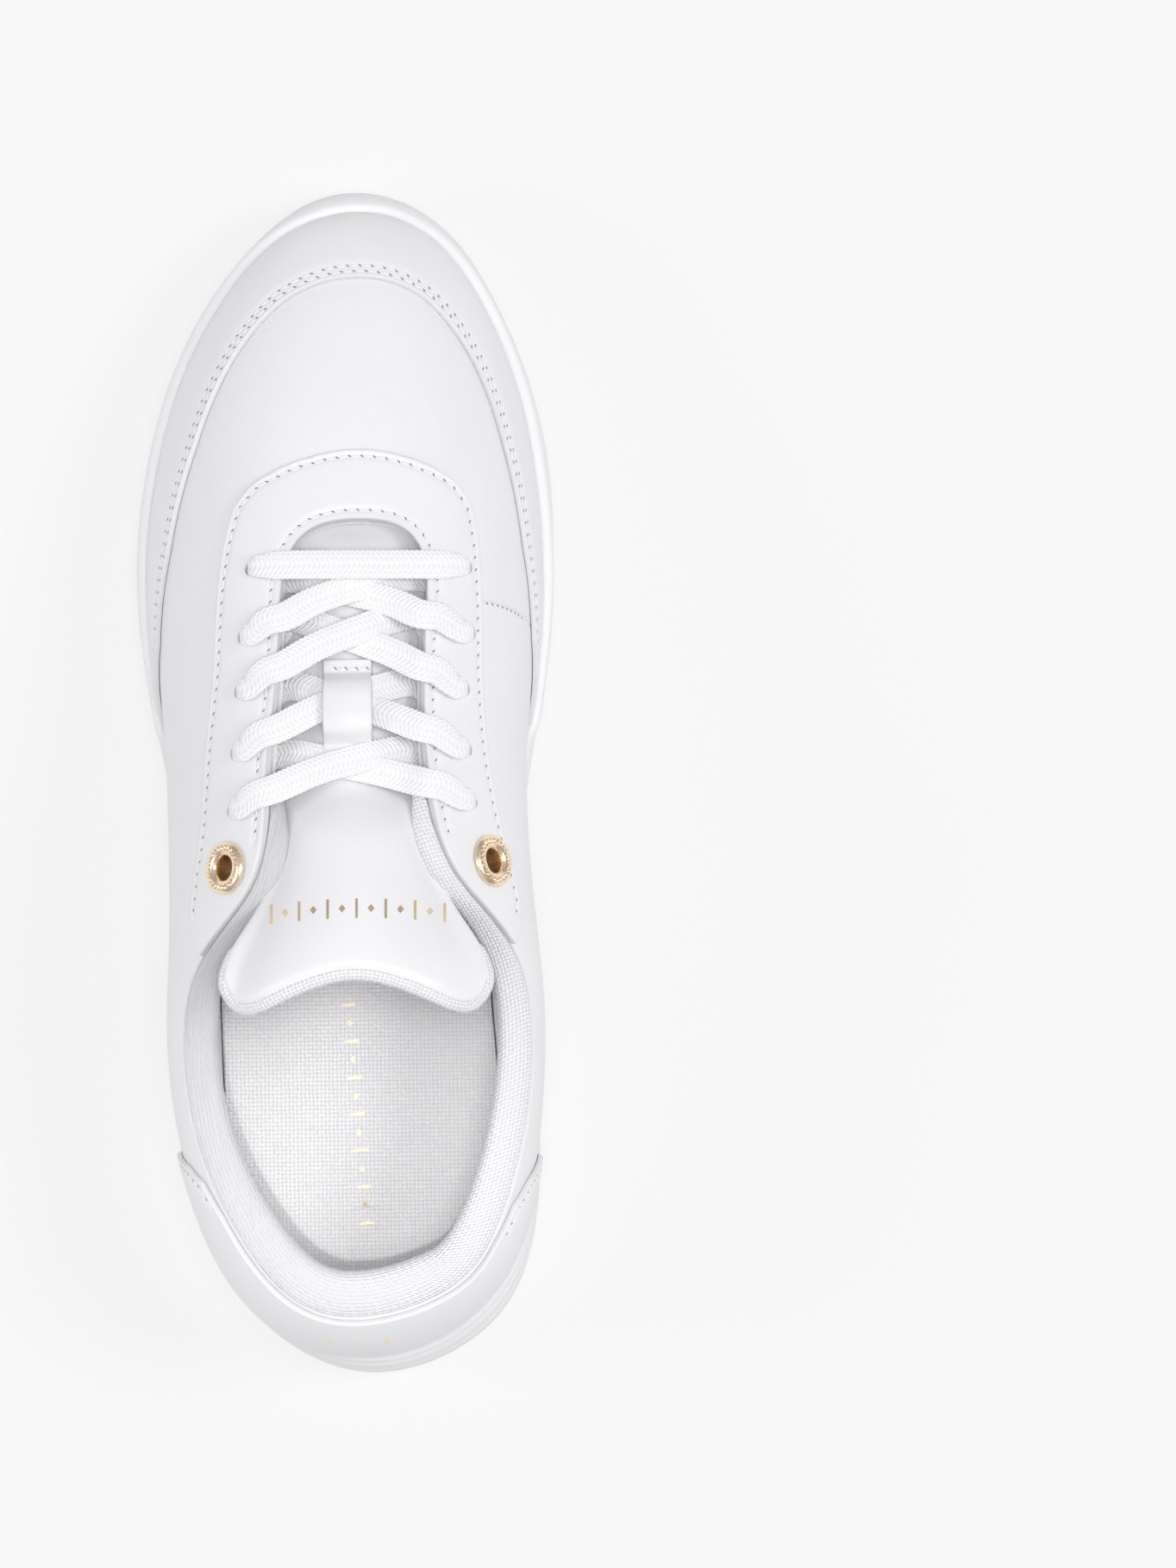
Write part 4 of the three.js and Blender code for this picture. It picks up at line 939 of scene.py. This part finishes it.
def build_upper():
    holes = hole_places()
    panel("mudguard_leather", 6.1, 17.9, flat_at(-0.12), lambda t: along(MUDGUARD_EDGE, t), TOP, GAP, 620, 64,
          ["toe_mudguard"], GUARD_ROWS, bottom=False)
    stay = panel("eyestay_leather", 4.2, 19.8, lambda t: along(EYESTAY_EDGE, t), flat_at(1.0), TOP, GAP, 620, 56,
                 ["eyestay"], [STAY_ROW, THROAT_ROW])
    cut_holes(stay, holes)
    panel("heel_patch_leather", -2.75, 2.75, flat_at(-0.12), lambda t: along(HEEL_PATCH_EDGE, t), TOP, GAP, 240, 72,
          ["heel_patch"], HEEL_ROWS, bottom=False, ends=True)
    vamp = panel("vamp_leather", SEAM, ROUND - SEAM, flat_at(-0.9), flat_at(1.0), SKIN, -LEATHER, 420, 84,
                 ["vamp"], ends=True, bottom=False, closed=(2.0, 0.22),
                 skew=lambda u, v: -seam_lean(v) * smoothstep(u, 15.0, ROUND - SEAM))
    cut_holes(vamp, holes)
    for name, u0, u1, closed in (("lateral", 0, SEAM, (1, 2.0)), ("medial", -SEAM, 0, (0.22, 1))):
        quarter = panel(f"quarter_{name}_leather", u0, u1, flat_at(-0.9), flat_at(1.0), SKIN, -LEATHER, 320, 84,
                        [f"quarter_{name}"], ends=True, bottom=False, closed=closed,
                        skew=lambda u, v: -seam_lean(v) * smoothstep(-u, 5.2, SEAM))
        cut_holes(quarter, holes)
    lining = panel("vamp_lining_cloth", COLLAR_END + 0.02, ROUND - COLLAR_END - 0.02, flat_at(-0.33), flat_at(1.0),
                   -LINING_DEPTH, -FACING, 420, 64, ["vamp_lining"], bottom=False, material=LINING_CLOTH,
                   slot="lining_textile")
    cut_holes(lining, holes)


def build_stitching():
    rows = [on_surface(u, v, TOP - 0.3) for u, v in [*GUARD_ROWS, STAY_ROW, THROAT_ROW, *HEEL_ROWS]]
    stitches("upper_stitching", rows)
    v = np.linspace(0.4, 0.72, 120)
    stitches("seam_stitching", [on_surface(-SEAM - seam_lean(v) + 0.03, v, SKIN)], pitch=2.1, length=1.5, lean=0.3)


build_upper()
build_stitching()


# ---------- padded collar ----------
def collar_depth(u, v):
    return 4.3 + (along(COLLAR_WIDTH, station(u)) - 4.3) * smoothstep(v, 0.2, 1)


def collar_face(u, w):
    u, w = np.broadcast_arrays(np.asarray(u, float), np.asarray(w, float))
    tuck = 1.6
    first = offset_point(u, 0.86 + 0.14 * w / 0.12, np.full(u.shape, -tuck))
    v = 1 - 1.4 * (w - 0.45) / 0.55
    inside = offset_point(u, v, -collar_depth(u, v))
    phi = math.pi * (w - 0.12) / 0.33
    depth = tuck + (collar_depth(u, np.ones(u.shape)) - tuck) * (1 - np.cos(phi)) / 2
    swell = 1.75 * (1 - 0.7 * smoothstep(station(u), 5.2, COLLAR_FRONT))
    depth = depth - swell * smoothstep(phi, 0.0, 0.16) * (1 - smoothstep(phi, 0.25, 1.5))
    up = unit(surface(u, np.ones(u.shape)) - surface(u, np.full(u.shape, 0.99)))
    roll = offset_point(u, np.ones(u.shape), -depth)
    roll = roll + up * (along(COLLAR_HEIGHT, station(u)) * np.sin(phi))[..., None]
    return np.where((w < 0.12)[..., None], first, np.where((w > 0.45)[..., None], inside, roll))


def build_collar():
    us = refined(-COLLAR_FRONT, COLLAR_FRONT, 460)
    ws = np.concatenate([np.linspace(0.001, 0.12, 8)[:-1], 0.12 + 0.33 * np.linspace(0, 1, 50)[:-1] ** 1.3,
                         np.linspace(0.45, 0.985, 50)])
    short = 1 - 0.8 * smoothstep(np.abs(us), 5.1, COLLAR_END)[:, None]
    ws = np.where(ws[None] > 0.45, 0.45 + (ws[None] - 0.45) * short, ws[None])
    grid = collar_face(us[:, None], ws)
    normal, back = grid_normal(grid), len(us) // 2
    normal *= np.sign(np.dot(normal[back, 27], grid[back, 27] - grid[back, 60]))
    obj = make_shell("collar_padding_cloth", grid, grid - normal * LINING, (run_length(grid, 0), run_length(grid, 1)),
                     COLLAR_CLOTH, "lining_textile", ["collar_lining"], angle=80)
    cut_holes(obj, hole_places())


build_collar()


# ---------- tongue ----------
FREE_START, FREE_END = 129, 97.5  # where the free end of the tongue starts and stops, from the heel


def tongue_grid(rows, columns):
    """The tongue's upper face from under the vamp to the free end, as a grid of points."""
    s = np.linspace(-0.999, 0.999, columns)
    ys = np.linspace(209.9, FREE_END, rows)
    base, flap = tongue_rows(np.maximum(ys, 131.2)), flap_rows(ys)
    flap[:, :, 1] = base[:, :, 1] = ys[:, None] - LENGTH / 2
    turn = smoothstep(ys, 127, 141)[:, None, None]
    lines = (base * turn + flap * (1 - turn)).reshape(rows, -1)
    lines = smoothed(lines, 9).reshape(rows, 5, 3)
    lines[:, :, 1] = ys[:, None] - LENGTH / 2
    grid = catmull(lines, (s + 1) / 2)
    arch = (1 - np.cos(math.pi * np.minimum(np.abs(s) / 0.8, 1))) / 2
    back = FREE_END - 7.8 * arch + 6.4 * smoothstep(np.abs(s), 0.8, 1.02) ** 1.3
    q = np.clip((FREE_START - ys) / (FREE_START - FREE_END), 0, 1)[:, None]
    y = np.where(q > 0, FREE_START - (FREE_START - back[None]) * q, ys[:, None])
    grid[:, :, 1] = y - LENGTH / 2
    return grid


def build_tongue():
    rows, columns = 190, 96
    grid = tongue_grid(rows, columns)
    normal = grid_normal(grid)
    normal *= np.sign(normal[rows // 2, columns // 2, 2])
    length, width = run_length(grid, 0), run_length(grid, 1)
    ends = length[-1:] - length
    reach = np.minimum(ends, np.minimum(width, width[:, -1:] - width))
    pad = 2.0 + 1.3 * smoothstep(ends, 60, 20)
    total = 1 + 2 * GAP + pad + 0.7
    fall = total / 2 * (1 - rolled(reach, total / 2))
    top, under = -fall, -total + fall
    layers = [("tongue_leather_skin", top, np.minimum(top - 0.15, -1), TONGUE_SKIN, "white_leather", "leather"),
              ("tongue_padding", np.minimum(top - 0.3, -1 - GAP), np.maximum(under + 0.3, -total + 0.7 + GAP), FOAM,
               "pu_foam", "foam"),
              ("tongue_lining_cloth", np.maximum(under + 0.15, -total + 0.7), under, LINING_CLOTH, "lining_textile",
               "lining")]
    for name, near, far, material, slot, part in layers:
        far = np.minimum(far, near - 0.1)
        obj = make_shell(name, grid + normal * near[..., None], grid + normal * far[..., None], (width, length),
                         material, slot, [f"tongue_base_{part}", f"tongue_flap_{part}"], body=None, angle=60,
                         edge=np.zeros(2 * width.size))
        bend_with_flap(obj)

    build_tongue_edge(grid, normal, total)
    skin_x, skin_y = grid[:, :, 0], grid[:, :, 1]

    def on_tongue(flat, height):
        found = []
        for x, y in flat + (AXIS_X, -LENGTH / 2):
            near = np.unravel_index(np.argmin((skin_x - x) ** 2 + (skin_y - y) ** 2), skin_x.shape)
            p, n = grid[near], normal[near]
            z = p[2] - ((x - p[0]) * n[0] + (y - p[1]) * n[1]) / n[2]
            found.append(np.array((x, y, z)) + n * height)
        return np.array(found)

    marks = [(w, 111.6 - 0.0035 * w * w, 0.0) for w in np.linspace(-19.2, 20.4, 13)]
    bend_with_flap(foil_marks("tongue_foil_row", marks, 4.4, on_tongue, body=None))


def build_tongue_edge(grid, normal, total):
    """Soft textile piping that shows behind the leather at the free end."""
    rows = grid.shape[0]
    middle = grid - normal * (total[-1:] * 0.42)[..., None]
    path = np.concatenate([middle[rows - 16:, 2], middle[-1, 3:-3], middle[rows - 16:, -3][::-1]])
    path = smoothed(bent_line(path, 0.5)[0], 6)
    bend_with_flap(piping("tongue_edge_piping", path, 1.75))


def bend_with_flap(obj):
    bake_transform(obj)


build_tongue()


def build_keeper():
    rises = np.array([[146.9, 0.3], [149.2, 0.5], [151, 2.2], [152.8, 4.3], [155.2, 5.2], [158, 5.35], [160.6, 5.2],
                      [162.3, 4.2], [163.6, 2.3], [164.6, 0.8], [165.7, 0.35], [168.6, 0.3]])
    t = np.linspace(0, 1, 90)
    line = catmull(np.stack([rises[:, 0], rises[:, 1], 0 * rises[:, 0]], -1), t)
    ws = np.linspace(-7, 4.3, 24)
    flat = np.stack([tongue_top(ws, np.full(ws.shape, y)) for y, _, _ in line])
    flat[:, :, 2] += line[:, 1][:, None]
    normal = grid_normal(flat)
    normal *= np.sign(normal[45, 12, 2])
    up, side = run_length(flat, 0), run_length(flat, 1)
    reach = np.minimum(np.minimum(up, up[-1:] - up), np.minimum(side, side[:, -1:] - side))
    outer = flat + normal * (1.2 * (0.3 + 0.7 * rolled(reach, 0.5)))[..., None]
    make_shell("lace_keeper_leather", outer, flat, (side, up), LEATHER_SKIN, "white_leather", ["lace_keeper"], reach)
    w = np.linspace(-6.2, 3.5, 30)
    line = tongue_top(w, 166.5) + (0, 0, 1.6)
    stitches("keeper_stitching", [(line, np.tile((0, 0, 1.0), (30, 1)))], pitch=2.4, length=1.5, lean=0.8)


build_keeper()


# ---------- sole ----------
TREAD_PITCH, TREAD_MARGIN, ZIGZAG, ZIGZAG_STEP = 5.2, 6.4, 1.9, 3.5


def level(ring, z):
    """The ring at another height, or at a height for each of its points."""
    return np.stack([ring[:, 0], ring[:, 1], np.broadcast_to(z, len(ring))], -1)


def middle_line(ring, heel, toe):
    """The ring's points moved in to the middle line of the sole, which ends at heel and toe."""
    x = AXIS_X + np.interp(ring[:, 1], [-140, -40, 60, 140], [0, -1.5, -3, 0.3])
    return np.stack([x, np.clip(ring[:, 1], heel, toe), ring[:, 2]], -1)


def tread_height(y):
    return 6 * np.maximum(0, (y + LENGTH / 2 - 205) / 75) ** 2


def cup_room(u):
    t = station(u)
    return 0.6 + 1.5 * np.maximum(smoothstep(t, 5.95, 6.15), smoothstep(-t, -2.9, -2.7))


def build_sole():
    count = 720
    u = np.linspace(0, ROUND, count, endpoint=False)
    t = station(u)
    side, out = outline(u), outward(outline, u)
    cup, cup_out = feather(u), outward(feather, u)
    room = cup_room(u)[:, None]
    rim = cup + cup_out * (room + 2)
    spring = tread_height(side[:, 1])
    rows = []

    toe = smoothstep(t, 8.9, 9.6)
    for inset, rise in ((-7.5, 1.3), (-5.2, 1.3), (-4.9, 0.2), (-4.5, 0), (-3.2, 0.1), (-2.3, 0.7), (-1.7, 1.6)):
        rows.append(level(side + out * inset, spring + rise))
    start_z, mid_z = spring + 1.9, side[:, 2]
    for k in np.linspace(0, 1, 40)[1:]:
        z = start_z + (mid_z - start_z) * k
        inset = -1.5 * (1 - k) ** 2.2
        ribs = 0.22 * np.sin(2 * math.pi * z / 1.5) * toe * smoothstep(k, 0.2, 0.3)
        rows.append(level(side + out * (inset - ribs)[:, None], z))
    top_z = cup[:, 2] - 1.6
    for k in np.linspace(0, 1, 34)[1:]:
        z = mid_z + (top_z - mid_z) * (1 - (1 - k) ** 1.35)
        lean = k ** 1.7
        groove = 0.5 * np.exp(-((k - 0.42) / 0.07) ** 2) + 0.25 * np.exp(-((k - 0.78) / 0.05) ** 2)
        rows.append(level(side * (1 - lean) + rim * lean - out * groove, z))
    for inset, drop in ((1.75, 1.05), (1.3, 0.7), (0.6, 0.6), (0, 0.66), (-0.45, 0.8), (-0.72, 1.05), (-0.72, 4),
                        (0, 5)):
        rows.append(level(cup + cup_out * (room + inset), cup[:, 2] - drop))
    wall = cup + cup_out * room
    rows += [level(wall, spring + OUTSOLE + 4), level(wall, spring + OUTSOLE)]
    # the cup floor and the tread plate, closed by narrowing the rings to the middle line
    spine = middle_line(side, -112, 108)
    floor = []
    for k in (0.3, 0.6, 0.8, 0.93, 1.0):
        p, q = wall * (1 - k) + spine * k, (side - out * 7.5) * (1 - k) + spine * k
        rows.append(level(p, tread_height(p[:, 1]) + OUTSOLE))
        floor.insert(0, level(q, tread_height(q[:, 1]) + 1.3))
    rings = np.array(floor + rows)
    faces = quads(count, len(rings), True)
    make("outsole_rubber", rings.transpose(1, 0, 2).reshape(-1, 3), faces, RUBBER, "rubber_white", ["outsole_cup"],
         angle=60)


build_sole()


def build_tread():
    """Herringbone bars under the sole, each a zigzag strip across it."""
    u = np.linspace(0, ROUND, 960, endpoint=False)
    inside = outline(u) - outward(outline, u) * TREAD_MARGIN
    section = [(-1.5, 1.45), (-1.05, 0.05), (1.05, 0.05), (1.5, 1.45)]
    pile = Pile()
    for y in np.arange(-128, 129, TREAD_PITCH):
        near = inside[np.abs(inside[:, 1] - y) < TREAD_PITCH / 2]
        if len(near) < 4:
            continue
        x, middle = near[:, 0], (near[:, 0].min() + near[:, 0].max()) / 2
        xs = np.arange(x[x < middle].max() + 1, x[x > middle].min() - 1, ZIGZAG_STEP)
        if len(xs) < 3:
            continue
        zig = y + ZIGZAG * np.where(np.arange(len(xs)) % 2, 1, -1)
        z = tread_height(zig)
        pile.add(np.stack([np.stack([xs, zig + a, z + b], -1) for a, b in section], 1),
                 tube_faces(len(section), len(xs)))
    make("outsole_tread", pile.points(), pile.faces, RUBBER, "rubber_white", angle=30)


build_tread()


# ---------- sockliner ----------
def build_sockliner():
    count = 480
    u = np.linspace(0, ROUND, count, endpoint=False)
    rim = feather(u) - outward(feather, u) * 4.6
    out = outward(feather, u)
    bottom = rim[:, 2] - SOLE_DEPTH + LEATHER + 1.8 + 3 * GAP + 4 + GAP
    spine = middle_line(rim, -100, 100)
    inwards = lambda inset, k, rise: level((rim - out * inset) * (1 - k) + spine * k, bottom + rise)
    under = [inwards(0.4, k, 0) for k in (1.0, 0.5, 0.2)]
    edge = [inwards(inset, 0, rise) for inset, rise in ((0.4, 0), (0.05, 0.15), (0, 0.5), (0.12, 0.82), (0.45, 1))]
    top = [inwards(0.45, k, 1) for k in np.linspace(0.03, 1, 34)]
    rings = np.array(under + edge + top).transpose(1, 0, 2)
    uv = rings[:, :, :2].reshape(-1, 2)
    faces = quads(count, rings.shape[1], True).tolist()
    make("sockliner_canvas_cover", rings.reshape(-1, 3), faces, CANVAS, "woven_textile", ["sockliner_cover"],
         uv=uv, angle=60)
    return BVHTree.FromPolygons(rings.reshape(-1, 3).tolist(), faces)


def build_inner_foil(canvas):
    """The column of foil marks down the sockliner and the three on the heel patch."""
    def on_canvas(flat, height):
        hits = [canvas.ray_cast((w + AXIS_X, y - LENGTH / 2, 60), (0, 0, -1))[0] for w, y in flat]
        return np.array(hits) + (0, 0, height)

    def on_heel(flat, height):
        return offset_point(flat[:, 0] / 20, 0.78 - flat[:, 1] / 45, TOP + height)

    column = [(-3.8 + 3.65 * t, 87.7 - 51.6 * t, math.pi / 2 + 0.07) for t in np.linspace(0, 1, 13)]
    foil_marks("sockliner_foil_column", column, 3.4, on_canvas, material=WORN_FOIL)
    foil_marks("heel_foil_marks", [(w, 0.0, 0.0) for w in (-5.1, 0.65, 6.4)], 3.2, on_heel, lozenges=False)


build_inner_foil(build_sockliner())


# ---------- eyelets ----------
def build_eyelet(side, label):
    origin, axis = surface_at(*EYELETS[side])
    face = OVERLAY + 2 * GAP
    profile = [(2.1, -EYELET_DEPTH), (3.2, -EYELET_DEPTH), (3.2, face - 0.2), (5.7, face - 0.15), (6.05, face + 0.1),
               (6.1, face + 0.4), (5.95, face + 0.75), (5.6, face + 1.05), (5.0, face + 1.25), (4.3, face + 1.3),
               (3.7, face + 1.22), (3.25, face + 1.0), (2.95, face + 0.65), (2.8, face + 0.2), (2.65, face - 1.5)]
    count, bead_count, bead_circle = 72, 26, 4.62
    a = circle(count)
    ring = unit(np.cross(axis, (0, 1, 0)))
    other = np.cross(axis, ring)
    radial = ring * np.cos(a)[:, None] + other * np.sin(a)[:, None]
    shape, n = np.array(profile), len(profile)
    points = origin + radial[:, None] * shape[None, :, :1] + axis * shape[None, :, 1:]
    faces = quads(count, n, True).tolist()
    faces += [[i * n + n - 1, ((i + 1) % count) * n + n - 1, ((i + 1) % count) * n, i * n] for i in range(count)]
    make(f"eyelet_{label}_gold", points.reshape(-1, 3), faces, GOLD, "gold_metal", [f"eyelet_{label}"], angle=40)
    # a plain beaded ring, in place of any mark
    lat, lon = np.meshgrid(np.linspace(0.15, math.pi / 2 + 0.4, 5), circle(10), indexing="ij")
    beads = Pile()
    for k, b in enumerate(circle(bead_count)):
        direction = ring * math.cos(b) + other * math.sin(b)
        along_rim = -ring * math.sin(b) + other * math.cos(b)
        long = 0.42 if k % 2 else 0.22
        centre = origin + direction * bead_circle + axis * (face + 1.24)
        bead = (centre + along_rim * (np.sin(lat) * np.cos(lon) * long)[..., None]
                + direction * (np.sin(lat) * np.sin(lon) * 0.72)[..., None] + axis * (np.cos(lat) * 0.34)[..., None])
        beads.add(bead, tube_faces(10, 5))
    make(f"eyelet_{label}_beading", beads.points(), beads.faces, GOLD, "gold_metal", angle=40)


for which, label in ((-1, "lateral"), (1, "medial")):
    build_eyelet(which, label)


# ---------- the CAD parts that stay ----------
def dress(material, *names):
    for name in names:
        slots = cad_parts[name].data.materials
        slots.clear()
        slots.append(material)


dress(EVA, "midsole_filler")
dress(BOARD_FIBRE, "lasting_board")
dress(FOAM, "sockliner_foam", "collar_foam")
dress(STIFFENER, "toe_puff", "heel_counter")
dress(GOLD, "eyelet_washer_lateral", "eyelet_washer_medial")
dress(CLEAR, "aglet_lateral", "aglet_medial")


# ---------- floor and light ----------
FLOOR_GLOW, FLOOR_REACH = 0.67, 8


def build_stage():
    s = Shader("floor", (0.25, 0.25, 0.25), 0.9, Specular_IOR_Level=0.1, Emission_Color=(1, 1, 1, 1),
               Emission_Strength=FLOOR_GLOW)
    mesh = bpy.data.meshes.new("floor")
    mesh.from_pydata([(x * FLOOR_REACH, y * FLOOR_REACH, 0) for x, y in ((-1, -1), (1, -1), (1, 1), (-1, 1))], [],
                     [(0, 1, 2, 3)])
    mesh.materials.append(s.material)
    link("floor", mesh)


def add_light(name, location, size, power):
    data = bpy.data.lights.new(name, "AREA")
    data.shape, data.size, data.energy = "DISK", size, power
    light = link(name, data)
    x, y, z = light.location = location
    light.rotation_euler = (math.atan2(math.hypot(x, y), z - 0.03), 0, math.atan2(x, -y))


def add_snoot(location, cone, power):
    """A narrow soft beam straight down into the opening."""
    data = bpy.data.lights.new("snoot", "SPOT")
    data.spot_size, data.spot_blend, data.shadow_soft_size, data.energy = cone, 1.0, 0.02, power
    link("snoot", data).location = location


def build_world():
    """White above, darker at the horizon, so that metal has something to reflect."""
    world = bpy.data.worlds.new("studio")
    world.use_nodes = True
    nodes, links = world.node_tree.nodes, world.node_tree.links
    coordinates, split = nodes.new("ShaderNodeTexCoord"), nodes.new("ShaderNodeSeparateXYZ")
    ramp = nodes.new("ShaderNodeMapRange")
    for socket, value in zip(ramp.inputs[1:5], (0.0, 0.55, 0.26, 0.51)):
        socket.default_value = value
    links.new(coordinates.outputs[0], split.inputs[0])
    links.new(split.outputs[2], ramp.inputs[0])
    links.new(ramp.outputs[0], nodes["Background"].inputs[1])
    nodes["Background"].inputs[0].default_value = (0.95, 0.942, 1, 1)
    bpy.context.scene.world = world


build_stage()
build_world()
add_light("overhead", (0.1, 0.0, 2.4), 0.55, 17.6)
add_light("right", (1.2, 0.1, 1.7), 0.7, 11.5)
add_light("left", (-1.4, -0.1, 1.0), 0.7, 4.8)
add_snoot((0.0, -0.091, 2.3), math.radians(2.8), 60.0)
bpy.context.scene.view_settings.view_transform = "Standard"
